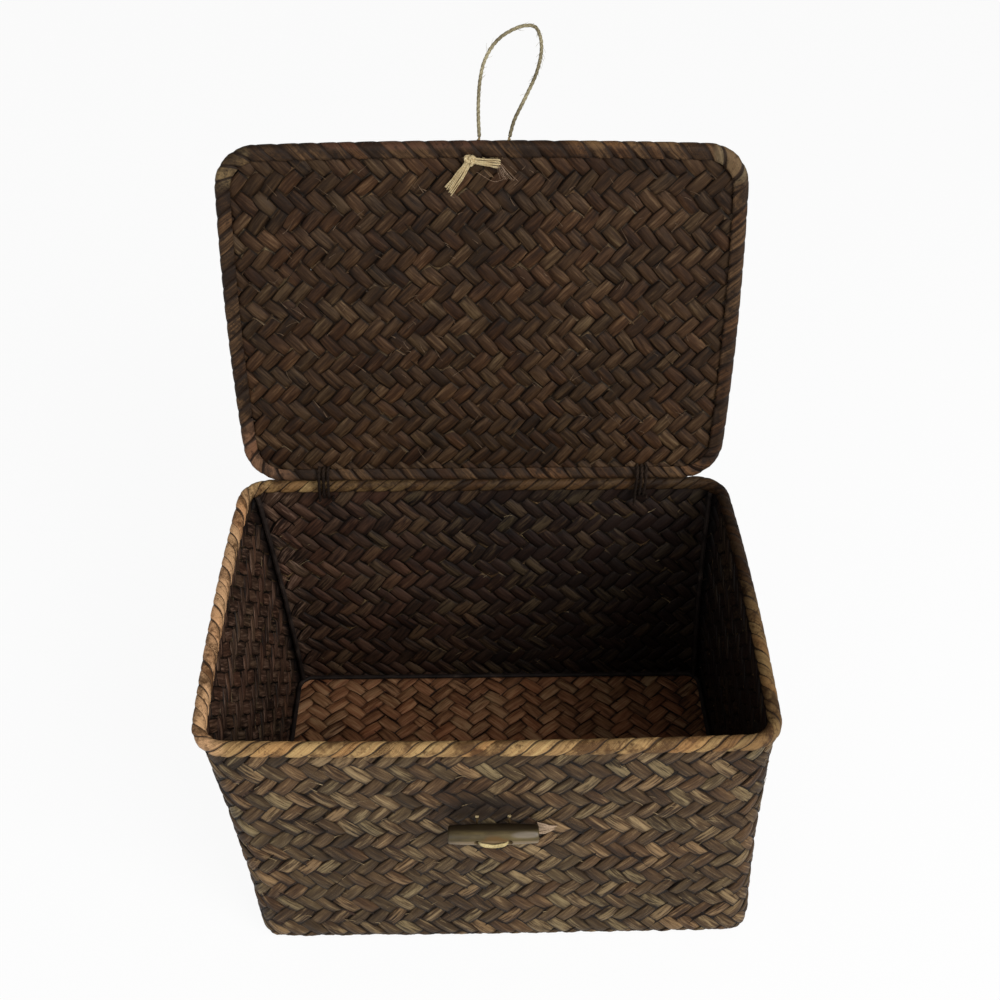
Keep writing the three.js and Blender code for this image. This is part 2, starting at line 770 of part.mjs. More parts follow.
const loop = new THREE.Group();
loop.position.copy(lidPoint(loopShift, loopPivot.along, loopPivot.out));
loop.rotation.x = -loopLean * degrees;
loop.add(piece('closure_loop', closureLoop(), twineFinish));
lid.add(loop);

const box = new THREE.Group();
box.name = 'plaited_leaf_box';
box.add(body, toggle, lid);

export default box;
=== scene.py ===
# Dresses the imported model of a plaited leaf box: every woven strip, leaf wrap and twist of twine.
# Metres, +Z up. The origin is the middle of the base, and the front faces -Y.
import json
import math

import bmesh
import bpy
import numpy as np
from mathutils import Matrix, Vector


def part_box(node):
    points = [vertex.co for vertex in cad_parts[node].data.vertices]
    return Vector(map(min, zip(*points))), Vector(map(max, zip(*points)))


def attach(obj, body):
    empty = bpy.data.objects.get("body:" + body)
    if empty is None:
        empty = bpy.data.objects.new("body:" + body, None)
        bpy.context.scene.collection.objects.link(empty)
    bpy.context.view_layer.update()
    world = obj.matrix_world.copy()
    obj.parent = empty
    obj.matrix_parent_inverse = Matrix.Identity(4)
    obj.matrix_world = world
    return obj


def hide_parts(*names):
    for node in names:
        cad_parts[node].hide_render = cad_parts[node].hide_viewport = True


bl_info = {
    "name": "Plaited leaf box",
    "version": (1, 0, 0),
    "blender": (4, 5, 0),
    "location": "View3D > Sidebar > Leaf box",
    "description": "Strips, wraps, twine and finishes for a plaited leaf box with a hinged lid",
    "category": "Add Mesh",
}

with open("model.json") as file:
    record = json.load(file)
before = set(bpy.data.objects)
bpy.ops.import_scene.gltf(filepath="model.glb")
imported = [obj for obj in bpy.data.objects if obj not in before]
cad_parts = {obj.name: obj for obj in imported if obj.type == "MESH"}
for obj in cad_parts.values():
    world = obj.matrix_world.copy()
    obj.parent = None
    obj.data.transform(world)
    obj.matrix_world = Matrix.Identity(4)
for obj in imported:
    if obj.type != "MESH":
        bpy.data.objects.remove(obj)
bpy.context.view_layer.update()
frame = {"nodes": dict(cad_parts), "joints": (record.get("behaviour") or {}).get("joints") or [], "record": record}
joint_places = {joint["name"]: Vector(joint["pos_m"]) for joint in frame["joints"]}

MM = 0.001


def half_width(node):
    """Half of the width of a CAD node."""
    low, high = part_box(node)
    return (high.x - low.x) / 2


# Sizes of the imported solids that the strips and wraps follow
HINGE = joint_places["lid_hinge"]
TOGGLE_PIVOT = joint_places["toggle_swing"]
LOOP_PIVOT = joint_places["loop_swing"]
LEAN = HINGE.x
BODY_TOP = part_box("rim_binding")[1].z
WALL_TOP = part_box("woven_body")[1].z
WALL = 2.4 * MM
WAIST = 1.8 * MM
FOOT_RADIUS = 7 * MM
BASE_HALF_X = 122 * MM
BASE_HALF_Y = 86.5 * MM
BASE_CORNER = 12 * MM
BASE_BOW = 0.5 * MM
BOW = 1.5 * MM
RIM_CREST = 3.2 * MM
RIM_HALF_X = half_width("rim_binding") - RIM_CREST - BOW
RIM_HALF_Y = HINGE.y
RIM_CORNER = 13 * MM
RIM_HEIGHT = BODY_TOP - RIM_CREST
LID_CREST = 3.1 * MM
LID_HALF_X = half_width("lid_binding") - LID_CREST - BOW
LID_HALF_Y = RIM_HALF_Y - 1.5 * MM
LID_CORNER = 18 * MM
LID_OPEN = math.radians(100)
LID_FRONT = 2 * LID_HALF_Y + LID_CREST + BOW

# Twine: its diameter, and as shares of its radius, a ply's radius and distance from the middle
TWINE = 1.8 * MM
PLY_RADIUS = 0.6
PLY_OFFSET = 0.39

# Closure loop, with its route across and away from the lid in millimetres
LOOP_LEAN = math.radians(50)
LOOP_ROUTE = [
    (-6.4, 0), (-6.7, 14.5), (-5.8, 30), (-3.6, 41), (1.3, 51), (7.4, 57), (15.4, 60.8),
    (20.2, 60.2), (22.5, 55), (22.9, 46.5), (20.4, 34.5), (15.2, 21.5), (9.6, 8.5), (7.4, 0),
]
LOOP_SHIFT = 5 * MM
LOOP_HOLES = (-3.5 * MM, 9.6 * MM)
LOOP_HOLE_INSET = 7.8 * MM
LOOP_SEAT = 4.7 * MM
LOOP_STRAND_START = math.radians(145)
LOOP_STRAND_END = math.radians(54)

# Hinge ties
TIE_INSET = 45 * MM
TIE_TURNS = 3
TIE_PITCH = 2.3 * MM
TIE_RADIUS = 5.2 * MM
TIE_DROP = 1.6 * MM
TIE_TAILS = (5 * MM, 9 * MM)
TIE_CUT_END = 5 * MM

# Toggle
TOGGLE_LENGTH = 40.5 * MM
TOGGLE_RADIUS = 4.75 * MM
TOGGLE_END_RADIUS = 4.1 * MM
TOGGLE_SPACING = 14.4 * MM
TOGGLE_END_ROUND = 0.9 * MM
TOGGLE_BORE = 1.5 * MM
TOGGLE_BORE_TILT = math.radians(1)
# Tilt of the toggle's painted shade and light, the same as the camera's pitch, so that they run up as the camera
# sees the bar
PAINTED_LIGHT_TILT = math.radians(40.76)
TOGGLE_CENTRE = TOGGLE_PIVOT + Vector((0, -4.75 * MM, -4.8 * MM))
STITCH_FIBRES = 11
STITCH_WIDTH = 2.6 * MM

# Camera, from the straight edges of the box in the photograph
CAMERA_PLACE = Vector((-13.2 * MM, -435.6 * MM, 589.9 * MM))
CAMERA_PITCH = math.radians(40.76)
CAMERA_YAW = math.radians(1.38)
CAMERA_ROLL = math.radians(-0.4)
CAMERA_LENS = 46.94
SENSOR = 36

# Stage
FLOOR_HALF = 6
FLOOR_GREY = (0.86, 0.86, 0.86, 1)
FLOOR_SHINE = 0.93
WHITE = (1, 1, 1, 1)
WORLD_LIGHT = 0.32
LAMP_AIM = Vector((0, 0, 0.12))

# Near-blacks of painted shade, painted shadow and the wraps' dark seams, the tints that multiply a leaf's colour,
# and painted shade that multiplies it
SHADOW = (0.003, 0.002, 0.002, 1)
# Painted shade in the gaps round the floats
GAP_SHADE = (0.010, 0.007, 0.005, 1)
# Painted shadow above the toggle
PAINTED_SHADOW = (0.012, 0.008, 0.006, 1)
SEAM_DARK = (0.018, 0.010, 0.006, 1)
REDDISH = (1.0, 0.74, 0.6, 1)
REDDISH_WRAP = (1.0, 0.74, 0.58, 1)
OLIVE = (0.82, 0.93, 0.92, 1)
# Painted shade where a float dips under its neighbours
DIP_SHADE = (0.34, 0.30, 0.27, 1)
# Painted shade on the toggle's twine behind its bar and in its bores
PAINTED_SHADE_TINT = (0.14, 0.11, 0.09, 1)

# Both families of a weave's strips, and whether they rise to the right
FAMILIES = (("rising", True), ("falling", False))


def rgb(red, green, blue):
    """A colour as a shader wants it, from the 8-bit values of a screen."""
    channels = []
    for value in (red, green, blue):
        share = value / 255
        channels.append(share / 12.92 if share <= 0.04045 else ((share + 0.055) / 1.055) ** 2.4)
    return (*channels, 1.0)


def scatter(seed, *keys):
    """Fixed random numbers from 0 to 1, one for each set of whole-number keys."""
    mixed = seed * 37.719
    for weight, key in zip((12.9898, 78.233, 45.164), keys):
        mixed = mixed + weight * np.asarray(key, float)
    return np.abs(np.sin(mixed) * 43758.5453) % 1


def chance(seed, key):
    """One fixed random number from 0 to 1."""
    return float(scatter(seed, key))


def drift(seed, number, along):
    """Smooth random wander from -1 to 1 along strip number."""
    low = np.floor(along)
    share = along - low
    ease = share * share * (3 - 2 * share)
    values = scatter(seed, number, low) * (1 - ease) + scatter(seed, number, low + 1) * ease
    return 2 * values - 1


class Outline:
    """A rounded rectangle whose front and sides bow out, followed anticlockwise from the front left."""

    SIDE_STEPS = 16
    CORNER_STEPS = 12

    def __init__(self, half_x, half_y, corner, bow, centre_x=0.0, centre_y=0.0):
        inner_x = half_x - corner
        inner_y = half_y - corner
        along = np.linspace(0, 1, self.SIDE_STEPS, endpoint=False)
        turn = np.linspace(0, math.pi / 2, self.CORNER_STEPS, endpoint=False)
        swell = 4 * bow * along * (1 - along)
        run_x = inner_x * (2 * along - 1)
        run_y = inner_y * (2 * along - 1)
        sides = [
            (run_x, -half_y - swell),
            (half_x + swell, run_y),
            (-run_x, np.full_like(along, half_y)),
            (-half_x - swell, -run_y),
        ]
        hubs = [(inner_x, -inner_y), (inner_x, inner_y), (-inner_x, inner_y), (-inner_x, -inner_y)]
        pieces = []
        for quarter, (side, hub) in enumerate(zip(sides, hubs)):
            angle = turn + (quarter - 1) * math.pi / 2
            bend = (hub[0] + corner * np.cos(angle), hub[1] + corner * np.sin(angle))
            pieces += [np.stack(side, 1), np.stack(bend, 1)]
        points = np.concatenate(pieces) + (centre_x, centre_y)
        ahead = np.roll(points, -1, 0) - np.roll(points, 1, 0)
        ahead /= np.linalg.norm(ahead, axis=1)[:, None]
        normals = np.stack((ahead[:, 1], -ahead[:, 0]), 1)
        self.points = np.concatenate((points, points[:1]))
        self.normals = np.concatenate((normals, normals[:1]))
        steps = np.linalg.norm(np.diff(self.points, axis=0), axis=1)
        self.distance = np.concatenate(([0], np.cumsum(steps)))
        self.length = self.distance[-1]

    def at(self, distance):
        """Places and outward normals at distances round the outline, as x, y, normal x, normal y."""
        wrapped = np.mod(distance, self.length)
        columns = (self.points[:, 0], self.points[:, 1], self.normals[:, 0], self.normals[:, 1])
        return [np.interp(wrapped, self.distance, column) for column in columns]


def base_outline():
    """The outside of the box at its flat base."""
    return Outline(BASE_HALF_X, BASE_HALF_Y, BASE_CORNER, BASE_BOW)


def wall_rim_outline():
    """The outside of the wall at the height of the rim's middle."""
    half = WALL / 2
    return Outline(RIM_HALF_X + half, RIM_HALF_Y + half, RIM_CORNER + half, BOW, LEAN)


def mean_girth():
    """Length round the body, halfway between its base and its rim."""
    return (base_outline().length + wall_rim_outline().length) / 2


# Shader graphs


class Maths:
    """A shader value that Python arithmetic works on by adding Math nodes."""

    def __init__(self, graph, socket):
        self.graph = graph
        self.socket = socket

    def join(self, operation, first, second):
        """The value of a Math node."""
        node = self.graph.add("ShaderNodeMath", {"operation": operation}, {0: first, 1: second})
        return Maths(self.graph, node.outputs[0])

    def __add__(self, other):
        return self.join("ADD", self, other)

    def __sub__(self, other):
        return self.join("SUBTRACT", self, other)

    def __rsub__(self, other):
        return self.join("SUBTRACT", other, self)

    def __mul__(self, other):
        return self.join("MULTIPLY", self, other)

    def __truediv__(self, other):
        return self.join("DIVIDE", self, other)

    def __mod__(self, other):
        return self.join("FLOORED_MODULO", self, other)

    def __floordiv__(self, other):
        share = self / other
        return share.join("FLOOR", share, 0.0)

    def __lt__(self, other):
        return self.join("LESS_THAN", self, other)

    def __abs__(self):
        return self.join("ABSOLUTE", self, 0.0)

    __radd__ = __add__
    __rmul__ = __mul__


class Graph:
    """The emptied node graph of a material or a world."""

    def __init__(self, owner, output="ShaderNodeOutputMaterial"):
        owner.use_nodes = True
        self.owner = owner
        self.nodes = owner.node_tree.nodes
        self.links = owner.node_tree.links
        self.nodes.clear()
        self.output = self.add(output)

    def add(self, kind, settings=None, inputs=None):
        """Makes a node, first with its settings and then with the values or links of its sockets."""
        node = self.nodes.new(kind)
        for key, value in (settings or {}).items():
            setattr(node, key, value)
        for key, value in (inputs or {}).items():
            if isinstance(value, Maths):
                value = value.socket
            if isinstance(value, bpy.types.NodeSocket):
                self.links.new(value, node.inputs[key])
            else:
                node.inputs[key].default_value = value
        return node

    def attribute(self, name):
        """A value that the piece's mesh holds."""
        node = self.add("ShaderNodeAttribute", {"attribute_name": name})
        return Maths(self, node.outputs["Fac"])

    def place(self):
        """The point on the piece, in the frame of the whole object."""
        return self.add("ShaderNodeTexCoord").outputs["Object"]

    def strip_place(self, along, across, sideways):
        """Coordinates that follow a strip, with their own stretch along it and across it."""
        uv = self.add("ShaderNodeUVMap", {"uv_map": "leaf_map"}).outputs["UV"]
        split = self.add("ShaderNodeSeparateXYZ", inputs={0: uv})
        u = Maths(self, split.outputs[0]) * along
        v = Maths(self, split.outputs[1]) * across
        return self.add("ShaderNodeCombineXYZ", inputs={0: u, 1: v, 2: sideways}).outputs[0]

    def chances(self, first, second):
        """Three random values from 0 to 1, fixed for each pair of numbers."""
        pair = self.add("ShaderNodeCombineXYZ", inputs={0: first, 1: second}).outputs[0]
        noise = self.add("ShaderNodeTexWhiteNoise", {"noise_dimensions": "2D"}, {"Vector": pair})
        split = self.add("ShaderNodeSeparateColor", inputs={0: noise.outputs["Color"]})
        return [Maths(self, output) for output in split.outputs]

    def noise(self, vector, scale=1.0, detail=2.0, roughness=0.5):
        """Cloudy noise from 0 to 1, finer with a larger scale."""
        values = {"Vector": vector, "Scale": scale, "Detail": detail, "Roughness": roughness}
        return Maths(self, self.add("ShaderNodeTexNoise", inputs=values).outputs["Fac"])

    def ease(self, value, low, high):
        """0 below low, 1 above high, and smooth between them."""
        settings = {"interpolation_type": "SMOOTHSTEP"}
        node = self.add("ShaderNodeMapRange", settings, {0: value, 1: low, 2: high})
        return Maths(self, node.outputs[0])

    def ramp(self, value, places, tones):
        """A colour for a value, from the tones at some places between 0 and 1."""
        node = self.add("ShaderNodeValToRGB", inputs={0: value})
        elements = node.color_ramp.elements
        while len(elements) < len(tones):
            elements.new(0.5)
        for element, place, tone in zip(elements, places, tones):
            element.position = place
            element.color = tone
        return node.outputs["Color"]

    def mix(self, factor, first, second, blend="MIX"):
        """The first colour with a share of the second one mixed or multiplied in."""
        settings = {"data_type": "RGBA", "blend_type": blend}
        return self.add("ShaderNodeMix", settings, {0: factor, 6: first, 7: second}).outputs[2]

    def vector_maths(self, operation, first, second=(0, 0, 0)):
        """A Vector Math node."""
        return self.add("ShaderNodeVectorMath", {"operation": operation}, {0: first, 1: second})

    def dot(self, vector, direction):
        """How far a vector reaches along a direction."""
        return Maths(self, self.vector_maths("DOT_PRODUCT", vector, direction).outputs["Value"])

    def reach(self, direction):
        """How far the point on the piece lies along a direction."""
        return self.dot(self.place(), direction)

    def away_from(self, centre):
        """The way from a centre to the point on the piece."""
        return self.vector_maths("SUBTRACT", self.place(), centre).outputs[0]

    def closeness(self, centre, reach, ragged=0.0):
        """1 at a place, fading to 0 at an ellipsoid round it. Ragged is added to the distance."""
        share = self.vector_maths("DIVIDE", self.away_from(centre), reach).outputs[0]
        length = self.vector_maths("LENGTH", share).outputs["Value"]
        return 1 - self.ease(Maths(self, length) + ragged, 0.7, 1.3)

    def bump(self, height, distance, strength=0.9):
        """A normal from a height. Distance is how far a height of 1 stands up."""
        values = {"Height": height, "Distance": distance, "Strength": strength}
        return self.add("ShaderNodeBump", inputs=values).outputs[0]

    def end(self, shader):
        """Ends the graph in a shader, and gives back the material or the world."""
        self.links.new(shader.outputs[0], self.output.inputs[0])
        return self.owner

    def surface(self, **sockets):
        """Ends the graph in a Principled shader, whose sockets are named in small letters."""
        named = {key.replace("_", " ").title(): value for key, value in sockets.items()}
        named["Specular IOR Level"] = named.pop("Specular Ior Level")
        return self.end(self.add("ShaderNodeBsdfPrincipled", inputs=named))


def new_graph(name):
    """The node graph of a new material."""
    return Graph(bpy.data.materials.new(name))


# Finishes


def near_corner(graph):
    """1 in the upright corners of the body, fading to 0 a few millimetres from them."""
    climb = graph.reach((0, 0, 1 / RIM_HEIGHT))
    half_x = BASE_HALF_X + climb * (RIM_HALF_X - BASE_HALF_X)
    half_y = BASE_HALF_Y + climb * (RIM_HALF_Y - BASE_HALF_Y)
    across = abs(graph.reach((1, 0, 0)) - climb * LEAN) / half_x
    along = abs(graph.reach((0, 1, 0))) / half_y
    return graph.ease(across, 0.915, 0.955) * graph.ease(along, 0.86, 0.92)


def paint_light_and_shade_inside(graph, inner, value, streak, painted_light_side):
    """Paints light and highlight streaks on the inside of the walls to the left, and shade to the right and in the
    corners.

    Gives back the colour, and how much of a point belongs to the left wall.
    """
    start, end, pale = painted_light_side
    leftwards = graph.reach((-1, 0, 0))
    # Painted light: paler towards the left of the inside
    painted_light_share = graph.ease(leftwards, start, end) * graph.ease(value, 0.2, 0.85) * 0.68
    inner = graph.mix(painted_light_share, inner, pale)
    left_wall = graph.ease(leftwards, 106 * MM, 112 * MM)
    # Painted highlights: pale streaks on the left wall
    inner = graph.mix(left_wall * graph.ease(streak, 0.64, 0.86) * 0.6, inner, rgb(134, 108, 92))
    # Painted shade: darker towards the right of the inside
    right = graph.ease(graph.reach((1, 0, 0)), -20 * MM, 90 * MM)
    inner = graph.mix(right * 0.55, inner, rgb(27, 17, 14))
    # Painted shade: near-black in the upright corners
    return graph.mix(near_corner(graph) * 0.9, inner, SHADOW), left_wall


def tint_floats(graph, colour, luck):
    """Turns some floats reddish and others olive, by the luck that each one has."""
    reddish = graph.ease(luck, 0.62, 0.78)
    colour = graph.mix(reddish * 0.4, colour, REDDISH, "MULTIPLY")
    olive = 1 - graph.ease(luck, 0.34, 0.5)
    return graph.mix(olive * 0.6, colour, OLIVE, "MULTIPLY")


def paint_gap_shade(graph, colour, edge, float_end, fibre, vein):
    """Paints shade on a float where it dips under its neighbours, and paints shade lines round it.

    Gives back the colour, how far a point dips, and how clear of the lines it is.
    """
    # Painted shade where the float dips under its neighbours
    dip = 1 - graph.ease(float_end + vein * 0.08, 0.03, 0.24)
    colour = graph.mix(dip * 0.45, colour, DIP_SHADE, "MULTIPLY")
    # Painted shade lines along the float's edges and at its ends
    clear_side = 1 - graph.ease(edge + (fibre - 0.5) * 0.2, 0.74, 0.98)
    clear = clear_side * graph.ease(float_end + fibre * 0.03, 0.02, 0.075)
    drawn = graph.ease(graph.noise(graph.place(), scale=140), 0.36, 0.56) * 0.6 + 0.32
    return graph.mix((1 - clear) * drawn, colour, GAP_SHADE), dip, clear


def leaf_finish(name, outside, inside, worn, gloss=0.5, sheen=0.16, shadow_spot=None, painted_light_side=None):
    """Plaited leaf: each float has its own tone, streaks along it and painted shade lines round it.

    The floats that show outside and inside have their own four tones. A shadow spot is (place, reach)
    of a painted shadow, and a painted light side (start, end, colour) is where painted light makes the
    inside paler to the left, with painted shade to the right and in the corners.
    """
    graph = new_graph(name)
    local = graph.attribute("local")
    strip = graph.attribute("strip")
    edge = abs(graph.attribute("edge"))
    tone, wear, hue = graph.chances(strip, local // 0.5)
    strip_tone = graph.chances(strip, 0.5)[0]
    fibre = graph.noise(graph.strip_place(85, 1050, strip * 7.3), detail=4, roughness=0.7)
    vein = graph.noise(graph.strip_place(60, 420, strip * 3.7))
    cloud = graph.noise(graph.place(), scale=26, detail=3, roughness=0.6)
    value = tone * 0.2 + strip_tone * 0.08 + fibre * 0.8 + vein * 0.6 + cloud * 0.5 - 0.59
    stops = (0.2, 0.44, 0.64, 0.86)
    rubbed = graph.ease(fibre * 0.9 + wear * 0.45 + vein * 0.5 + (1 - edge) * 0.1, 1.04, 1.3)
    outer = graph.mix(rubbed * 0.5, graph.ramp(value, stops, outside), worn)
    inner = graph.mix(rubbed * 0.15, graph.ramp(value, stops, inside), worn)
    outward = (local % 1) < 0.5
    float_end = 0.5 - abs((local * 2) % 1 - 0.5)
    if painted_light_side:
        inner, left_wall = paint_light_and_shade_inside(graph, inner, value, fibre + vein * 0.3, painted_light_side)
        # Widens the painted shade at the ends of the inside floats on the left wall
        float_end = float_end + (1 - outward) * left_wall * 0.06
    colour = tint_floats(graph, graph.mix(outward, inner, outer), hue * 0.6 + cloud * 0.5)
    # Painted shade where floats dip, and painted shade lines round them
    colour, dip, clear = paint_gap_shade(graph, colour, edge, float_end, fibre, vein)
    # Painted shadow above the toggle
    if shadow_spot:
        shadowed = graph.closeness(*shadow_spot, ragged=cloud * 0.5 - 0.15)
        colour = graph.mix(shadowed * 0.72, colour, PAINTED_SHADOW)
    rounded = (1 - edge * edge) * 2.2 + (1 - dip) * 0.8
    grit = graph.noise(graph.place(), scale=900) * 0.25
    relief = rounded + fibre * 1.1 + vein * 1.5 + clear * 0.8 + grit
    rough = gloss + (1 - fibre) * 0.3 - rubbed * 0.08
    normal = graph.bump(relief, 0.35 * MM)
    return graph.surface(base_color=colour, roughness=rough, specular_ior_level=sheen, normal=normal)


def wrap_finish(name, tones, stain_tone, amount, seam, shades=(), patches=()):
    """Leaf wound round an edge: long pale streaks, brown stains, specks and dark edges.

    Seam is how far across a wrap its dark edge starts. Each shade is (direction, start, end, tone)
    of painted shade that darkens along it. Each patch is (place, reach, tone).
    """
    graph = new_graph(name)
    strip = graph.attribute("strip")
    edge = abs(graph.attribute("edge"))
    tone, wear, hue = graph.chances(strip, 1.5)
    fibre = graph.noise(graph.strip_place(50, 1200, strip * 3.1), detail=4, roughness=0.7)
    vein = graph.noise(graph.strip_place(30, 480, strip * 1.1))
    stain_and_shade = graph.noise(graph.place(), scale=75, detail=4, roughness=0.65)
    speck = graph.noise(graph.place(), scale=420, detail=3, roughness=0.7)
    value = tone * 0.34 + fibre * 0.95 + vein * 0.6 - 0.48
    colour = graph.ramp(value, (0.1, 0.45, 0.8), tones)
    for place, reach, patch_tone in patches:
        near = graph.closeness(place, reach, stain_and_shade - 0.5)
        colour = graph.mix(near * fibre * 1.3, colour, patch_tone)
    dark = graph.ease(stain_and_shade + (0.5 - wear) * 0.3, 0.48, 0.66) * amount
    dark = dark + (1 - dark) * graph.ease(speck + stain_and_shade * 0.4, 0.72, 0.86) * 0.6
    colour = graph.mix(dark, colour, stain_tone)
    reddish = graph.ease(hue, 0.72, 0.85)
    colour = graph.mix(reddish * 0.5, colour, REDDISH_WRAP, "MULTIPLY")
    # Painted shade along each shade's direction
    for direction, start, end, shade_tone in shades:
        share = graph.ease(graph.reach(direction) + stain_and_shade * 0.02, start, end)
        colour = graph.mix(share, colour, shade_tone, "MULTIPLY")
    line = graph.ease(edge + fibre * 0.12, seam, seam + 0.15)
    colour = graph.mix(line * 0.92, colour, SEAM_DARK)
    normal = graph.bump(fibre * 1.2 + vein * 1.5, 0.3 * MM)
    rough = 0.5 + fibre * 0.25
    return graph.surface(base_color=colour, roughness=rough, specular_ior_level=0.15, normal=normal)


def wire_finish():
    """Dull dark wire with a little rust."""
    graph = new_graph("dark_wire")
    rust = graph.noise(graph.place(), scale=120, detail=4, roughness=0.6)
    colour = graph.ramp(rust, (0.3, 0.6, 0.8), (rgb(18, 13, 11), rgb(42, 34, 30), rgb(80, 66, 56)))
    normal = graph.bump(rust, 0.1 * MM, 0.6)
    rough = 0.55 + rust * 0.25
    return graph.surface(base_color=colour, roughness=rough, specular_ior_level=0.15, normal=normal)


def twine_finish(name, tones, shaded_span=None):
    """Loosely spun plant fibre. A shaded span gives two places on Y between which painted shade darkens it."""
    graph = new_graph(name)
    fleck = graph.noise(graph.place(), scale=1400, detail=3, roughness=0.6)
    cloud = graph.noise(graph.place(), scale=70)
    colour = graph.ramp(fleck * 0.6 + cloud * 0.5, (0.35, 0.55, 0.75), tones)
    if shaded_span:
        # Painted shade between the two places on Y
        share = graph.ease(graph.reach((0, 1, 0)), *shaded_span)
        colour = graph.mix(share, colour, PAINTED_SHADE_TINT, "MULTIPLY")
    normal = graph.bump(fleck, 0.25 * MM)
    return graph.surface(base_color=colour, roughness=0.85, specular_ior_level=0.1, normal=normal)


def toggle_finish():
    """Polished horn with streaks along it, darker at its left end, painted shade along its top, painted light
    along its foot and a painted highlight at its right end.
    """
    graph = new_graph("toggle_horn")
    offset = graph.away_from(TOGGLE_CENTRE)
    along = graph.dot(offset, (1, 0, 0))
    rise = graph.dot(offset, (0, math.sin(PAINTED_LIGHT_TILT), math.cos(PAINTED_LIGHT_TILT)))
    stretch = {0: graph.place(), "Scale": (60, 420, 420)}
    stretched = graph.add("ShaderNodeMapping", inputs=stretch).outputs[0]
    streak = graph.noise(stretched, detail=4, roughness=0.6)
    cloud = graph.noise(graph.place(), scale=160, detail=3)
    tones = (rgb(48, 38, 20), rgb(74, 62, 34), rgb(98, 84, 50))
    colour = graph.ramp(streak * 0.6 + cloud * 0.4, (0.3, 0.5, 0.7), tones)
    ragged = (cloud - 0.5) * 1.2
    middle = TOGGLE_CENTRE + Vector((1.2, -4.5, 0.2)) * MM
    ochre = graph.closeness(middle, (6 * MM, 4 * MM, 3 * MM), ragged)
    colour = graph.mix(ochre * 0.6, colour, rgb(96, 66, 24))
    # Painted shade along the top
    top = graph.ease(rise + ragged * MM, 1.6 * MM, 3.2 * MM)
    colour = graph.mix(top * 0.85, colour, rgb(30, 22, 15))
    # Painted light along the foot
    foot = 1 - graph.ease(rise + ragged * 0.5 * MM, -2.7 * MM, -1.8 * MM)
    colour = graph.mix(foot * 0.75, colour, rgb(122, 104, 78))
    left = 1 - graph.ease(along, -0.5 * TOGGLE_LENGTH, -0.33 * TOGGLE_LENGTH)
    colour = graph.mix(left * 0.5, colour, rgb(38, 30, 20))
    # Painted highlight at the right end
    right_end = TOGGLE_CENTRE + Vector((14.5, -3.4, 3.6)) * MM
    painted_highlight = graph.closeness(right_end, (6.5 * MM, 1.9 * MM, 1.6 * MM), ragged * 0.5)
    colour = graph.mix(painted_highlight * streak * 0.8, colour, rgb(132, 122, 112))
    return graph.surface(
        base_color=colour, roughness=0.3 + streak * 0.25, specular_ior_level=0.25, coat_weight=0.08,
        normal=graph.bump(streak, 0.12 * MM, 0.5))


# Pieces


def material_slot(node):
    """The record's slot of a CAD node."""
    for subpart in frame["record"]["subparts"]:
        if subpart["node"] == node:
            return subpart["material_slot"]
    raise ValueError(f"the record has no node named {node}")


def new_piece(name, mesh, material, body, node):
    """Puts a mesh in the scene as a piece that rides on a body and stands for a CAD node."""
    piece = bpy.data.objects.new(name, mesh)
    bpy.context.scene.collection.objects.link(piece)
    mesh.materials.clear()
    mesh.materials.append(material)
    mesh.polygons.foreach_set("use_smooth", [True] * len(mesh.polygons))
    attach(piece, body)
    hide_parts(node)
    return piece


def leaf_piece(name, mesh, thickness, material, body, node):
    """A piece of leaf whose mesh is the middle of its thickness."""
    piece = new_piece(name, mesh, material, body, node)
    modifier = piece.modifiers.new("Thickness", "SOLIDIFY")
    modifier.thickness = thickness
    modifier.offset = 0


def fibre_piece(name, lines, material, body, node, sides=2):
    """A piece of round fibres. Each line is (points, radius at the start, radius at the end)."""
    curve = bpy.data.curves.new(name, "CURVE")
    curve.dimensions = "3D"
    curve.bevel_depth = 1.0
    curve.bevel_resolution = sides
    curve.use_fill_caps = True
    for points, first_radius, last_radius in lines:
        spline = curve.splines.new("POLY")
        last = len(points) - 1
        spline.points.add(last)
        for i, point in enumerate(points):
            spline.points[i].co = (*point, 1)
            spline.points[i].radius = first_radius + (last_radius - first_radius) * i / last
    holder = bpy.data.objects.new(name, curve)
    mesh = bpy.data.meshes.new_from_object(holder)
    bpy.data.objects.remove(holder)
    bpy.data.curves.remove(curve)
    mesh.name = name
    return new_piece(name, mesh, material, body, node)


# Toggle bar


def remove_object(piece):
    """Takes an object and its mesh out of the file."""
    mesh = piece.data
    bpy.data.objects.remove(piece)
    bpy.data.meshes.remove(mesh)


def in_fixed_order(mesh):
    """The same mesh with its vertices and faces sorted by place. The first mesh is used up.

    The exact Boolean gives the same faces on each run, but in another order.
    """
    places = [tuple(vertex.co) for vertex in mesh.vertices]
    faces = []
    for face in mesh.polygons:
        corners = [places[i] for i in face.vertices]
        first = corners.index(min(corners))
        faces.append(corners[first:] + corners[:first])
    places.sort()
    faces.sort()
    number = {place: i for i, place in enumerate(places)}
    ordered = bpy.data.meshes.new("ordered")
    ordered.from_pydata(places, [], [[number[corner] for corner in face] for face in faces])
    bpy.data.meshes.remove(mesh)
    return ordered


def cut_out(mesh, cutter):
    """The first mesh with the second one cut out of it. Both are used up."""
    whole = bpy.data.objects.new("whole", mesh)
    tool = bpy.data.objects.new("tool", cutter)
    for piece in (whole, tool):
        bpy.context.scene.collection.objects.link(piece)
    modifier = whole.modifiers.new("Cut", "BOOLEAN")
    modifier.operation = "DIFFERENCE"
    modifier.solver = "EXACT"
    modifier.object = tool
    graph = bpy.context.evaluated_depsgraph_get()
    result = bpy.data.meshes.new_from_object(whole.evaluated_get(graph))
    remove_object(whole)
    remove_object(tool)
    return in_fixed_order(result)


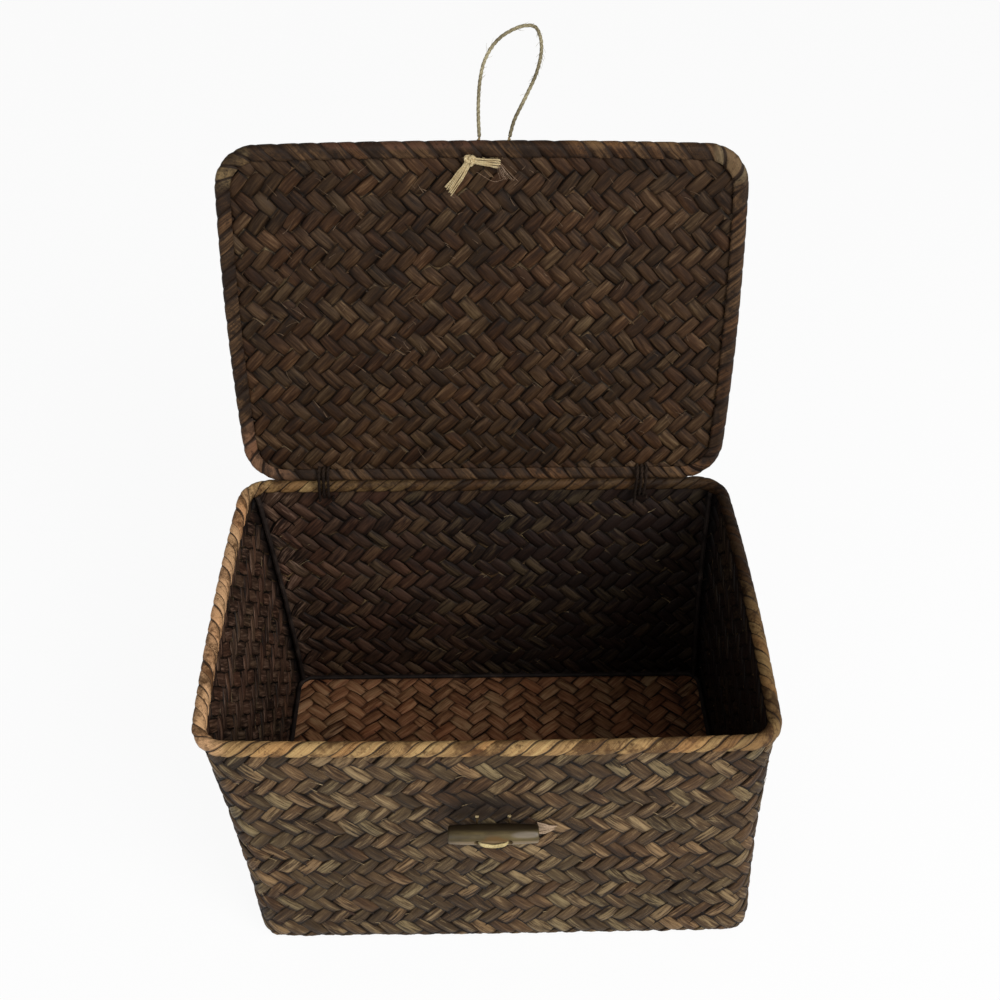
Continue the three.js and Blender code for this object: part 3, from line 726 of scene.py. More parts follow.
def toggle_profile():
    """The bar's outline as (place along it, radius), from one end to the other."""
    half = TOGGLE_LENGTH / 2
    corner = TOGGLE_END_ROUND
    swell = TOGGLE_RADIUS - TOGGLE_END_RADIUS
    profile = [(-half, 0)]
    for turn in np.linspace(math.pi / 2, 0, 5):
        along = corner * (1 - math.sin(turn)) - half
        profile.append((along, TOGGLE_END_RADIUS - corner * (1 - math.cos(turn))))
    for along in np.linspace(-half + 2 * corner, 0, 8):
        profile.append((along, TOGGLE_END_RADIUS + swell * math.cos(math.pi * along / 2 / half)))
    return profile + [(-along, radius) for along, radius in profile[-2::-1]]


def toggle_mesh():
    """The turned bar, with round ends and two almost level bores."""
    mesh = bmesh.new()
    chain = [mesh.verts.new((along, 0, radius)) for along, radius in toggle_profile()]
    edges = [mesh.edges.new(pair) for pair in zip(chain, chain[1:])]
    bmesh.ops.spin(
        mesh, geom=chain + edges, cent=(0, 0, 0), axis=(1, 0, 0), angle=2 * math.pi, steps=48,
        use_merge=True)
    bmesh.ops.remove_doubles(mesh, verts=mesh.verts[:], dist=1e-6)
    bmesh.ops.recalc_face_normals(mesh, faces=mesh.faces[:])
    bar = bpy.data.meshes.new("toggle_bar_turned")
    mesh.to_mesh(bar)
    mesh.clear()
    tilt = Matrix.Rotation(math.pi / 2 + TOGGLE_BORE_TILT, 4, "X")
    for side in (-1, 1):
        place = Matrix.Translation((side * TOGGLE_SPACING / 2, 0, 0))
        bmesh.ops.create_cone(
            mesh, cap_ends=True, segments=32, radius1=TOGGLE_BORE, radius2=TOGGLE_BORE,
            depth=4 * TOGGLE_RADIUS, matrix=place @ tilt)
    bores = bpy.data.meshes.new("bores")
    mesh.to_mesh(bores)
    mesh.free()
    bored = cut_out(bar, bores)
    bored.transform(Matrix.Translation(TOGGLE_CENTRE))
    return bored


# Weave


def grid_mesh(name, spans):
    """One grid for each span of (number, start, end, steps along, steps across).

    A vertex holds how far along its strip it lies, how far across from -0.5 to 0.5, and the number.
    """
    mesh = bmesh.new()
    for number, start, end, steps, across in spans:
        made = bmesh.ops.create_grid(mesh, x_segments=steps, y_segments=across, size=0.5)
        for vertex in made["verts"]:
            vertex.co = (start + (end - start) * (vertex.co.x + 0.5), vertex.co.y, number)
    data = bpy.data.meshes.new(name)
    mesh.to_mesh(data)
    mesh.free()
    flat = np.empty(len(data.vertices) * 3)
    data.vertices.foreach_get("co", flat)
    return data, flat.reshape(-1, 3)


def set_place(data, x, y, z):
    """Moves the vertices of a mesh."""
    data.vertices.foreach_set("co", np.stack((x, y, z), 1).ravel())
    data.update()


def set_values(data, **values):
    """Keeps values for the shaders at the vertices of a mesh."""
    for name, value in values.items():
        layer = data.attributes.new(name, "FLOAT", "POINT")
        layer.data.foreach_set("value", np.asarray(value, np.float32))


def set_strip_map(data, along, across):
    """Writes the map that a strip's streaks follow, in metres along and across it."""
    corners = np.empty(len(data.loops), int)
    data.loops.foreach_get("vertex_index", corners)
    layer = data.uv_layers.new(name="leaf_map")
    layer.uv.foreach_set("vector", np.stack((along[corners], across[corners]), 1).ravel())


class Twill:
    """A twill of leaf strips in two slanting families, each passing over two and under two."""

    # Steps along each cell of a strip, and its section as (place across, crown)
    STEPS = 5
    SECTION = ((-0.5, -0.05), (-0.33, 0.72), (0, 1), (0.33, 0.72), (0.5, -0.05))
    ACROSS = len(SECTION) - 1
    SQUARENESS = 1.5
    FAMILY_GAP = 300

    # Shares of the pitch: a strip's width, and how it narrows, varies and wanders
    FULLNESS = 1.02
    NARROWING = 0.07
    STRIP_VARIES = 0.12
    FLOAT_VARIES = 0.1
    WANDER = 0.09

    # Shares of the relief: how a float tilts and lifts
    TILT = 1.5
    LIFT = 0.38

    # How far a hand's uneven pull bends the whole cloth, and over what height
    PULL_ACROSS = 0.9 * MM
    PULL_ALONG = 0.8 * MM
    PULL_HEIGHT = 27 * MM

    def __init__(self, half_step_x, half_step_y, relief, thickness, seed, drag=150 * MM):
        self.drag = drag
        self.step_x = half_step_x
        self.step_y = half_step_y
        self.relief = relief
        self.thickness = thickness
        self.seed = seed
        self.cell = math.hypot(half_step_x, half_step_y)
        self.pitch = 2 * half_step_x * half_step_y / self.cell

    def spans(self, half_x, half_y):
        """Spans of the strips of one family that cross a rectangle about the origin."""
        cells_x = half_x / self.step_x
        cells_y = half_y / self.step_y
        most = math.ceil((cells_x + cells_y) / 2)
        spans = []
        for number in range(-most, most + 1):
            start = math.floor(max(number - cells_x, -number - cells_y)) - 1
            end = math.ceil(min(number + cells_x, -number + cells_y)) + 1
            if end - start > 2:
                spans.append((number, start, end, (end - start) * self.STEPS, self.ACROSS))
        return spans

    def cloth(self, name, rising, spans, broad):
        """Strips of one family as a mesh, with its places in the sheet: x, y and height.

        Broad is how much wider than usual its strips are, as a share of the pitch.
        """
        data, held = grid_mesh(name, spans)
        along, across, number = held.T
        places, crowns = zip(*self.SECTION)
        across = np.interp(across, np.linspace(-0.5, 0.5, self.ACROSS + 1), places)
        seed = self.seed + (0 if rising else 50)
        side = 1 if rising else -1
        phase = along + number
        wave = np.cos(np.pi * (phase - 0.5) / 2)
        wave = side * np.tanh(self.SQUARENESS * wave) / math.tanh(self.SQUARENESS)
        piece = np.floor((phase + 0.5) / 2)
        narrowing = self.NARROWING * np.cos(np.pi * (phase - 0.5))
        uneven = self.STRIP_VARIES * (scatter(seed, number) - 0.5)
        uneven = uneven + self.FLOAT_VARIES * (scatter(seed + 9, number, piece) - 0.5)
        width = self.pitch * (self.FULLNESS + broad + narrowing + uneven)
        offset = across * width + self.WANDER * self.pitch * drift(seed + 2, number, along / 3)
        ahead = (side * self.step_x / self.cell, self.step_y / self.cell)
        x = side * self.step_x * (along - number) - ahead[1] * offset
        y = self.step_y * (along + number) + ahead[0] * offset
        pull = 2 * np.pi * x / self.drag
        sag = y / self.PULL_HEIGHT
        x = x + self.PULL_ACROSS * np.sin(pull + 2 * np.sin(sag)) * np.sin(sag * 0.7)
        y = y + self.PULL_ALONG * np.sin(2 * pull + 1.3 * np.sin(sag))
        crown = np.interp(across, places, crowns)
        tilt = self.TILT * drift(seed + 3, number, phase / 2) * across
        lift = self.LIFT * drift(seed + 4, number, phase / 2)
        height = self.relief * (wave * (crown + lift) + tilt)
        local = (phase + 0.5) / 4 + (0 if rising else 0.5)
        strip = number + self.FAMILY_GAP * (1 if rising else 2)
        set_values(data, local=local, edge=2 * across, strip=strip)
        set_strip_map(data, along * self.cell, across * width)
        return data, x, y, height


def joined(name, meshes):
    """One mesh of several."""
    whole = bmesh.new()
    for mesh in meshes:
        whole.from_mesh(mesh)
        bpy.data.meshes.remove(mesh)
    data = bpy.data.meshes.new(name)
    whole.to_mesh(data)
    whole.free()
    return data


def trim(data, half_x, half_y, corner):
    """Cuts a flat sheet to a rounded rectangle with cutting planes all round it."""
    mesh = bmesh.new()
    mesh.from_mesh(data)
    turns = 5
    for step in range(4 * turns):
        angle = math.pi / 2 * (step // turns + step % turns / turns)
        normal = Vector((math.cos(angle), math.sin(angle), 0))
        hub_x = math.copysign(half_x - corner, normal.x)
        hub_y = math.copysign(half_y - corner, normal.y)
        bmesh.ops.bisect_plane(
            mesh, geom=mesh.verts[:] + mesh.edges[:] + mesh.faces[:], dist=1e-7,
            plane_co=Vector((hub_x, hub_y, 0)) + corner * normal, plane_no=normal, clear_outer=True)
    mesh.to_mesh(data)
    mesh.free()


def flat_cloth(name, twill, half_x, half_y, corner, families=(True, False)):
    """A flat woven sheet about the origin, cut to a rounded rectangle, or one family of its strips."""
    meshes = []
    for rising in families:
        data, x, y, height = twill.cloth(name, rising, twill.spans(half_x, half_y), broad=0.07)
        set_place(data, x, y, height)
        meshes.append(data)
    data = joined(name, meshes)
    trim(data, half_x, half_y, corner)
    return data


def wall_place(round_share, climb, out):
    """Places on the body's skin: share of the way round, distance up from the flat base, and out from it."""
    middle = WALL / 2
    radius = FOOT_RADIUS - middle
    foot = radius * math.pi / 2
    turn = np.clip(climb / radius, 0, math.pi / 2)
    inset = FOOT_RADIUS - radius * np.sin(turn) - np.minimum(climb, 0)
    height = FOOT_RADIUS - radius * np.cos(turn) + np.maximum(climb - foot, 0)
    low = base_outline()
    high = wall_rim_outline()
    share = height / RIM_HEIGHT
    at_base = low.at(round_share * low.length)
    at_rim = high.at(round_share * high.length)
    x, y, normal_x, normal_y = (a + (b - a) * share for a, b in zip(at_base, at_rim))
    sideways = np.sin(turn) * out - inset - WAIST * np.sin(np.pi * np.clip(share, 0, 1))
    return x + normal_x * sideways, y + normal_y * sideways, height - np.cos(turn) * out


def wall_strips(name, rising, numbers, material):
    """Some strips of one family of those that go round the body and over its foot."""
    length = mean_girth()
    thickness = sizes().strip_thickness
    half_step_x = length / (2 * sizes().floats_round)
    twill = Twill(
        half_step_x, sizes().wall_row / 4, sizes().relief, thickness, seed=1, drag=length / 6)
    bottom = -2.5 * MM
    top = (FOOT_RADIUS - WALL / 2) * math.pi / 2 + WALL_TOP - FOOT_RADIUS - 0.4 * MM
    start = bottom / twill.step_y
    steps = math.ceil((top - bottom) / twill.step_y * twill.STEPS)
    end = start + steps / twill.STEPS
    spans = [(number, start - number, end - number, steps, twill.ACROSS) for number in numbers]
    data, x, y, height = twill.cloth(name, rising, spans, broad=0.0 if rising else 0.08)
    set_place(data, *wall_place(x / length, np.minimum(y, top), height))
    leaf_piece(name, data, thickness, material, "box", "woven_body")


# Bindings


def section_place(travel, lift, radius, leg_half):
    """Place on the section of a binding: across the edge and away from it."""
    quarter = radius * math.pi / 2
    turn = np.clip(travel / radius, -math.pi / 2, math.pi / 2)
    leg = np.maximum(np.abs(travel) - quarter, 0)
    pinch = np.clip(leg / (1.5 * radius), 0, 1)
    half = radius + (leg_half - radius) * pinch
    across = np.where(leg > 0, np.sign(travel) * half, radius * np.sin(turn))
    away = radius * np.cos(turn) - leg
    return across + np.sin(turn) * lift, away + np.cos(turn) * lift


def wrap_widths(length, least, most, seed):
    """Widths of uneven wraps that together go exactly once round."""
    count = round(2 * length / (least + most))
    widths = least + (most - least) * scatter(seed, np.arange(count)) ** 1.3
    return widths * length / widths.sum()


def wraps(name, outline, widths, slant, radius, leg, leg_half, lap, seed, place):
    """Leaf wound round an edge in slanted wraps, each lapping over the next.

    A wrap bends round the edge on a radius and runs down a leg on each side. Leg_half is how far
    a leg's end lies from the middle. Place puts a point of the section beside the outline.
    """
    foot = radius * math.pi / 2 + leg
    steps_round = 14
    steps_across = 4
    spans = [(number, -foot, foot, steps_round, steps_across) for number in range(len(widths))]
    data, held = grid_mesh(name, spans)
    travel, side, number = held.T
    index = number.astype(int)
    starts = np.concatenate(([0], np.cumsum(widths)))[:-1]
    share = side + 0.5
    overlap = 1.16
    narrowing = 1 - 0.22 * (np.abs(travel) / foot) ** 4
    width = widths[index] * overlap * narrowing
    ragged = 0.6 * MM * drift(seed, number, travel / (4 * MM) + 9) * np.sin(np.pi * share)
    turned = slant * travel + 0.8 * MM * drift(seed + 1, number, travel / (9 * MM))
    along = starts[index] + widths[index] / 2 + side * width + turned + ragged
    ridge = np.sin(np.pi * np.clip(share * 1.15, 0, 1)) ** 0.6
    puff = 0.14 * MM * (0.3 + 0.7 * scatter(seed + 2, number)) * ridge
    tucked = 0.45 * MM * (share > 0.99) + 0.25 * MM * (share < 0.01)
    lift = lap * (0.1 + 0.9 * share) + puff - tucked
    x, y, normal_x, normal_y = outline.at(along)
    across, away = section_place(travel, lift, radius, leg_half)
    set_place(data, *place(x, y, normal_x, normal_y, across, away))
    set_values(data, edge=2 * side, strip=number + seed)
    set_strip_map(data, travel, side * width)
    return data


def rim_place(x, y, normal_x, normal_y, across, away):
    """A point of the rim's binding. Away is up."""
    lean = LEAN * away / RIM_HEIGHT
    return x + normal_x * across + lean, y + normal_y * across, RIM_HEIGHT + away


def lid_place(x, y, normal_x, normal_y, across, away):
    """A point of the closed lid's binding. Away is outwards, in the plane of the lid."""
    return x + normal_x * away, y + normal_y * away, across


def lid_pose():
    """Turns the closed lid about its hinge to where it stands open."""
    return Matrix.Translation(HINGE) @ Matrix.Rotation(-LID_OPEN, 4, "X")


def lid_point(across, along, out):
    """A point of the open lid, across it, along from the hinge and out of its top."""
    return lid_pose() @ Vector((across, -along, out))


def lid_directions():
    """Across the open lid, along it away from the hinge, and out of its underside."""
    origin = lid_point(0, 0, 0)
    return Vector((1, 0, 0)), lid_point(0, 1, 0) - origin, lid_point(0, 0, -1) - origin


# Twine and fibres


def smooth_route(points, step):
    """Even points on a smooth curve through points."""
    chain = [points[0] * 2 - points[1], *points, points[-1] * 2 - points[-2]]
    fine = []
    for first, second, third, fourth in zip(chain, chain[1:], chain[2:], chain[3:]):
        pieces = max(2, math.ceil((third - second).length / (0.3 * step)))
        for i in range(pieces):
            fine.append(centripetal(first, second, third, fourth, i / pieces))
    fine.append(points[-1])
    lengths = np.cumsum([0] + [(b - a).length for a, b in zip(fine, fine[1:])])
    count = max(2, round(lengths[-1] / step))
    wanted = np.linspace(0, lengths[-1], count + 1)
    columns = [np.interp(wanted, lengths, column) for column in np.array(fine).T]
    return [Vector(place) for place in zip(*columns)]


def centripetal(first, second, third, fourth, share):
    """Point on the centripetal curve between the second and third of four points."""
    knots = [0.0]
    for a, b in ((first, second), (second, third), (third, fourth)):
        knots.append(knots[-1] + max((b - a).length, 1e-9) ** 0.5)
    t = knots[1] + (knots[2] - knots[1]) * share

    def between(a, b, low, high):
        span = knots[high] - knots[low]
        return a * ((knots[high] - t) / span) + b * ((t - knots[low]) / span)

    ab = between(first, second, 0, 1)
    bc = between(second, third, 1, 2)
    cd = between(third, fourth, 2, 3)
    return between(between(ab, bc, 0, 2), between(bc, cd, 1, 3), 1, 2)


def carried_sides(path):
    """A direction square to the path at each of its points, carried along without twist."""
    side = (path[1] - path[0]).orthogonal().normalized()
    sides = []
    for i, point in enumerate(path):
        ahead = (path[min(i + 1, len(path) - 1)] - path[max(i - 1, 0)]).normalized()
        side = (side - ahead * side.dot(ahead)).normalized()
        sides.append((side, ahead.cross(side)))
    return sides


def round_side(side, up, turn):
    """The direction a turn round from one side towards the next."""
    return side * math.cos(turn) + up * math.sin(turn)


def twine_lines(path, lay=5.5 * MM, count=2):
    """The twisted plies of a twine along a path. Lay is the length of one twist."""
    sides = carried_sides(path)
    radius = TWINE / 2
    lines = []
    for ply in range(count):
        line = []
        travelled = 0.0
        for i, point in enumerate(path):
            if i:
                travelled += (point - path[i - 1]).length
            turn = 2 * math.pi * (ply / count + travelled / lay)
            line.append(point + round_side(*sides[i], turn) * radius * PLY_OFFSET)
        lines.append((line, PLY_RADIUS * radius, PLY_RADIUS * radius))
    return lines


def fuzz_lines(path, count, length, seed):
    """Short stray fibres that stand off a twine."""
    lines = []
    sides = carried_sides(path)
    for hair in range(count):
        i = int(scatter(seed, hair) * (len(path) - 3))
        ahead = (path[i + 1] - path[i]).normalized()
        out = round_side(*sides[i], 2 * math.pi * chance(seed + 1, hair))
        lean = 0.6 + chance(seed + 2, hair)
        half = length * (0.4 + chance(seed + 3, hair)) * 0.5
        start = path[i] + out * (TWINE / 2) * 0.8
        bend = start + (out + ahead * lean) * half
        tip = bend + (out * 0.4 + ahead * lean * 0.8) * half
        lines.append(([start, bend, tip], 0.07 * MM, 0.03 * MM))
    return lines


def loose_end(start, end, sideways, out, widths, count, radius, seed):
    """The fibres of a cut end side by side. They bow out and spread towards the cut, which is uneven."""
    lines = []
    steps = 8
    for fibre in range(count):
        share = (fibre + 0.5) / count - 0.5
        reach = 0.88 + 0.12 * chance(seed, fibre) + 0.08 * share
        layer = chance(seed + 2, fibre) - 0.5
        points = []
        for i in range(steps + 1):
            along = i / steps * reach
            width = widths[0] + (widths[1] - widths[0]) * along
            wander = 0.12 * float(drift(seed + 1, fibre, 2.5 * along))
            lift = 0.8 * math.sin(math.pi * along) + layer
            points.append(
                start + (end - start) * along + sideways * width * (share + wander) + out * lift)
        lines.append((points, radius, 0.8 * radius))
    return lines


def knot_path(centre, across, along, out, scale):
    """An overhand knot pulled tight, on three directions."""
    points = []
    steps = 48
    for i in range(steps + 1):
        turn = 2 * math.pi * i / steps
        points.append(
            centre + across * scale * (math.sin(turn) + 2 * math.sin(2 * turn))
            + along * scale * (math.cos(turn) - 2 * math.cos(2 * turn))
            - out * scale * math.sin(3 * turn))
    return points


def stray_fibres(count, seed, half_x, half_y, slope, place):
    """Fibres that have come loose from a woven sheet, held at one end.

    Slope is that of the strips, and place puts x, y and a height on the sheet.
    """
    lines = []
    steps = 4
    for fibre in range(count):
        luck_x, luck_y, facing, long, skew, curl, stiff = (
            chance(seed + key, fibre) for key in range(7))
        x = half_x * (2 * luck_x - 1)
        y = half_y * (2 * luck_y - 1)
        side = 1 if facing < 0.4 else -1
        length = (2.5 + 6 * long ** 2) * MM
        heading = math.atan(slope) + 0.5 * (skew - 0.5)
        points = []
        for i in range(steps + 1):
            share = i / steps
            turn = heading + 0.7 * (curl - 0.5) * share
            height = (0.75 + 0.9 * stiff * share ** 2) * MM
            points.append(place(
                x + side * share * length * math.cos(turn), y + share * length * math.sin(turn), height))
        lines.append((points, (0.12 + 0.16 * stiff) * MM, 0.06 * MM))
    return lines


# Routes of the toggle's twine, the loop and the ties


def toggle_point(across, out, drop):
    """A point across the toggle and out from its axis along the bores, with a drop round its front."""
    turn = TOGGLE_BORE_TILT + drop / TOGGLE_RADIUS
    return TOGGLE_CENTRE + Vector((across, -out * math.cos(turn), -out * math.sin(turn)))


def stitch_lines():
    """The fibres of the toggle's twine: from the wall, through both bores and side by side across the front.

    Half of the route is given as (across, out, drop, share of the spread), from a bore's back to the middle.
    """
    side = TOGGLE_SPACING / 2
    wall = Vector((side, 0, 0))
    half = [
        (side, -TOGGLE_RADIUS, 0, 0.3),
        (side - 0.4 * MM, 0, 0, 0.25),
        (side - 0.9 * MM, 4.1 * MM, 0.1 * MM, 0.25),
        (5.2 * MM, 5.3 * MM, 0.1 * MM, 0.5),
        (3.4 * MM, 5.4 * MM, 0.9 * MM, 0.9),
        (0, 5.5 * MM, 1.6 * MM, 1),
    ]
    route = [(-across, *rest) for across, *rest in half] + half[-2::-1]
    lines = []
    for fibre in range(STITCH_FIBRES):
        spread = (fibre / (STITCH_FIBRES - 1) - 0.5) * STITCH_WIDTH
        layer = 0.5 * MM * (chance(71, fibre) - 0.3)
        shift = Vector((0.3 * spread, 0, 0))
        points = [TOGGLE_PIVOT - wall + shift]
        points += [
            toggle_point(across, out + layer, drop + spread * share)
            for across, out, drop, share in route]
        points.append(TOGGLE_PIVOT + wall + shift)
        lines.append((smooth_route(points, 0.5 * MM), 0.3 * MM, 0.3 * MM))
    return lines


def toggle_knot_lines():
    """Both ends of the toggle's twine inside the front wall, tied in one knot with two tails."""
    across, back, up = Vector((1, 0, 0)), Vector((0, 1, 0)), Vector((0, 0, 1))
    inside = 3.8 * MM
    lines = []
    for side in (-1, 1):
        x = side * TOGGLE_SPACING / 2
        places = ((x, 1 * MM), (x, inside - 1.3 * MM), (0.75 * x, inside), (0, inside))
        route = smooth_route([TOGGLE_PIVOT + Vector((x, y, 0)) for x, y in places], 0.6 * MM)
        lines += twine_lines(route)
    knot = TOGGLE_PIVOT + back * (inside + 0.6 * MM)
    lines += twine_lines(knot_path(knot, across, up, back, scale=0.62 * MM), lay=4 * MM, count=3)
    for side in (-1, 1):
        end = knot + across * side * 3.5 * MM - up * 7 * MM
        lines += loose_end(
            knot, end, across, back * 0.6 * MM, widths=(1.2 * MM, 2.6 * MM), count=7,
            radius=0.22 * MM, seed=57 + side)
    return lines


def lid_twine_path(hole_x, root_x, below):
    """The strand that comes up through a hole in the lid and goes over its binding."""
    hole = LID_FRONT - LOOP_HOLE_INSET
    middle = LID_FRONT - LID_CREST
    points = [lid_point(hole_x, hole, out) for out in (-below, 0, 1.7 * MM)]
    turns = 4
    for i in range(turns + 1):
        turn = LOOP_STRAND_START + (LOOP_STRAND_END - LOOP_STRAND_START) * i / turns
        x = hole_x + (root_x - hole_x) * i / turns
        points.append(lid_point(x, middle + LOOP_SEAT * math.cos(turn), LOOP_SEAT * math.sin(turn)))
    return smooth_route(points, 0.5 * MM)


def loop_path():
    """The free loop, leaning back from the open lid."""
    turned = Matrix.Translation(LOOP_PIVOT) @ Matrix.Rotation(-LID_OPEN - LOOP_LEAN, 4, "X")
    points = [turned @ Vector((across * MM, -away * MM, 0)) for across, away in LOOP_ROUTE]
    return smooth_route(points, 0.6 * MM)


def loop_knot_centre():
    """The middle of the knot on the lid's underside."""
    hole = LID_FRONT - LOOP_HOLE_INSET
    return lid_point(LOOP_HOLES[0] - 2.2 * MM, hole - 0.4 * MM, -3.4 * MM)


def loop_knot_tails():
    """The directions of the knot's two cut tails: down to the left, and to the right."""
    across, along, _ = lid_directions()
    return -0.57 * across - 0.82 * along, 0.99 * across - 0.12 * along


def loop_knot_lines():
    """The loop's two strands through the lid, the run between their holes, and the knot with its tails."""
    across, along, out = lid_directions()
    hole = LID_FRONT - LOOP_HOLE_INSET
    roots = (LOOP_SHIFT + LOOP_ROUTE[0][0] * MM, LOOP_SHIFT + LOOP_ROUTE[-1][0] * MM)
    lines = []
    for hole_x, root_x, below in zip(LOOP_HOLES, roots, (2.7 * MM, 0.4 * MM)):
        lines += twine_lines(lid_twine_path(hole_x, root_x, below))
    lines += twine_lines(smooth_route([lid_point(x, hole, 0) for x in LOOP_HOLES[::-1]], 0.6 * MM))
    centre = loop_knot_centre()
    tight = knot_path(centre, across, along, out, scale=0.72 * MM)
    lines += twine_lines(tight, lay=4 * MM, count=3)
    lines += fuzz_lines(tight, count=24, length=1.6 * MM, seed=83)
    left, right = loop_knot_tails()
    lines += loose_end(
        centre + left * MM, centre + 18 * MM * left, 0.82 * across - 0.57 * along, out * 0.7 * MM,
        widths=(2.4 * MM, 4.8 * MM), count=15, radius=0.3 * MM, seed=41)
    return lines + loose_end(
        centre + right * MM, centre + 14 * MM * right, along, out * 0.8 * MM,
        widths=(2.4 * MM, 4 * MM), count=13, radius=0.3 * MM, seed=47)


def loop_knot_hairs():
    """Thin hairs that fan out from the right tail, and one long hair below the knot."""
    across, along, out = lid_directions()
    centre = loop_knot_centre()
    tip = centre + 13.5 * MM * loop_knot_tails()[1]
    hairs = loose_end(
        tip, tip + (4.5 * across - 8 * along) * MM, across, out * 1.2 * MM,
        widths=(2 * MM, 8 * MM), count=14, radius=0.06 * MM, seed=53)
    low = centre + (3 * across - 5.5 * along) * MM
    middle = low + (8 * across - 4 * along + 1.5 * out) * MM
    route = smooth_route([low, middle, middle + (4 * across + along) * MM], 1 * MM)
    hairs.append((route, 0.1 * MM, 0.06 * MM))
    return hairs


def tie_path(x, tail):
    """Up inside the box, over the lid's edge, down the back and in below the binding, turn after turn."""
    low = RIM_HEIGHT - TIE_DROP
    run = HINGE.z - low
    arc = math.pi * TIE_RADIUS
    whole = 2 * (run + arc)
    step = 1.2 * MM

    def at(distance):
        along = distance % whole
        across = x + (distance / whole - TIE_TURNS / 2) * TIE_PITCH
        if along <= run:
            return Vector((across, RIM_HALF_Y - TIE_RADIUS, low + along))
        if along <= run + arc:
            turn = (along - run) / TIE_RADIUS
            y = RIM_HALF_Y - TIE_RADIUS * math.cos(turn)
            return Vector((across, y, HINGE.z + TIE_RADIUS * math.sin(turn)))
        if along <= 2 * run + arc:
            return Vector((across, RIM_HALF_Y + TIE_RADIUS, HINGE.z - (along - run - arc)))
        turn = (along - 2 * run - arc) / TIE_RADIUS
        y = RIM_HALF_Y + TIE_RADIUS * math.cos(turn)
        return Vector((across, y, low - TIE_RADIUS * math.sin(turn)))

    first = x - TIE_TURNS / 2 * TIE_PITCH
    below = np.arange(tail, step, -step)
    points = [Vector((first, RIM_HALF_Y - TIE_RADIUS, low - drop)) for drop in below]
    end = TIE_TURNS * whole - arc / 2
    points += [at(distance) for distance in np.linspace(0, end, round(end / step))]
    last = at(end)
    points += [last - Vector((0, out, 0)) for out in np.arange(step, TIE_CUT_END, step)]
    return smooth_route(points, 0.6 * MM)


# Properties


class LeafBoxSizes(bpy.types.PropertyGroup):
    """Sizes that a user would change."""

    floats_round: bpy.props.IntProperty(
        name="Floats round", description="How many strips of each family start round the body",
        default=88, min=20)
    wall_row: bpy.props.FloatProperty(
        name="Wall row", description="Height of one repeat of the weave on the walls",
        default=20.6 * MM, unit="LENGTH")
    lid_float: bpy.props.FloatProperty(
        name="Lid float", description="Distance between floats across the lid",
        default=8.5 * MM, unit="LENGTH")
    lid_row: bpy.props.FloatProperty(
        name="Lid row", description="Height of one repeat of the weave on the lid",
        default=17.8 * MM, unit="LENGTH")
    relief: bpy.props.FloatProperty(
        name="Relief", description="How far a strip rises over the middle of the cloth",
        default=0.62 * MM, unit="LENGTH")
    strip_thickness: bpy.props.FloatProperty(
        name="Strip thickness", description="Thickness of one leaf strip",
        default=0.75 * MM, unit="LENGTH")
    wrap_lap: bpy.props.FloatProperty(
        name="Wrap lap", description="How far a wrap's edge stands over the next one",
        default=0.36 * MM, unit="LENGTH")


def colour_property(name, description, default):
    """A colour that a user would change."""
    return bpy.props.FloatVectorProperty(
        name=name, description=description, default=default, size=4, subtype="COLOR", min=0, max=1)


class LeafBoxColours(bpy.types.PropertyGroup):
    """Colours that a user would change."""

    leaf_dark: colour_property("Leaf, dark", "Darkest strips of the body", rgb(32, 22, 13))
    leaf_middle: colour_property("Leaf, middle", "Usual colour of the body", rgb(60, 43, 26))
    leaf_light: colour_property("Leaf, light", "Paler strips of the body", rgb(86, 67, 45))
    leaf_pale: colour_property("Leaf, pale", "Palest streaks of the body", rgb(130, 109, 78))
    inner_leaf: colour_property("Inner leaf", "Usual colour of the walls' inside", rgb(29, 18, 13))
    floor_leaf: colour_property("Floor leaf", "Usual colour of the floor panel", rgb(122, 79, 52))
    lid_leaf: colour_property("Lid leaf", "Usual colour of the lid", rgb(43, 27, 14))
    binding: colour_property("Rim binding", "Usual colour of the rim's wraps", rgb(150, 118, 76))
    lid_binding: colour_property("Lid binding", "Usual colour of the lid's wraps", rgb(52, 35, 20))
    twine: colour_property("Twine", "Usual colour of the closure twine", rgb(130, 120, 94))


# Operators


def sizes():
    """The sizes as the user has them."""
    return bpy.context.scene.leaf_box_sizes


def colours():
    """The colours as the user has them."""
    return bpy.context.scene.leaf_box_colours


class MakeCamera(bpy.types.Operator):
    """Places the camera where the photograph was taken from."""

    bl_idname = "leaf_box.camera"
    bl_label = "Camera"

    def execute(self, context):
        camera = bpy.data.objects.new("camera", bpy.data.cameras.new("camera"))
        context.scene.collection.objects.link(camera)
        camera.data.lens = CAMERA_LENS
        camera.data.sensor_width = SENSOR
        ahead = Vector((
            math.sin(CAMERA_YAW) * math.cos(CAMERA_PITCH),
            math.cos(CAMERA_YAW) * math.cos(CAMERA_PITCH),
            -math.sin(CAMERA_PITCH)))
        right = Vector((math.cos(CAMERA_YAW), -math.sin(CAMERA_YAW), 0))
        up = right.cross(ahead)
        roll = Matrix.Rotation(CAMERA_ROLL, 3, ahead)
        axes = Matrix((roll @ right, roll @ up, -ahead)).transposed()
        camera.matrix_world = Matrix.Translation(CAMERA_PLACE) @ axes.to_4x4()
        context.scene.camera = camera
        return {"FINISHED"}


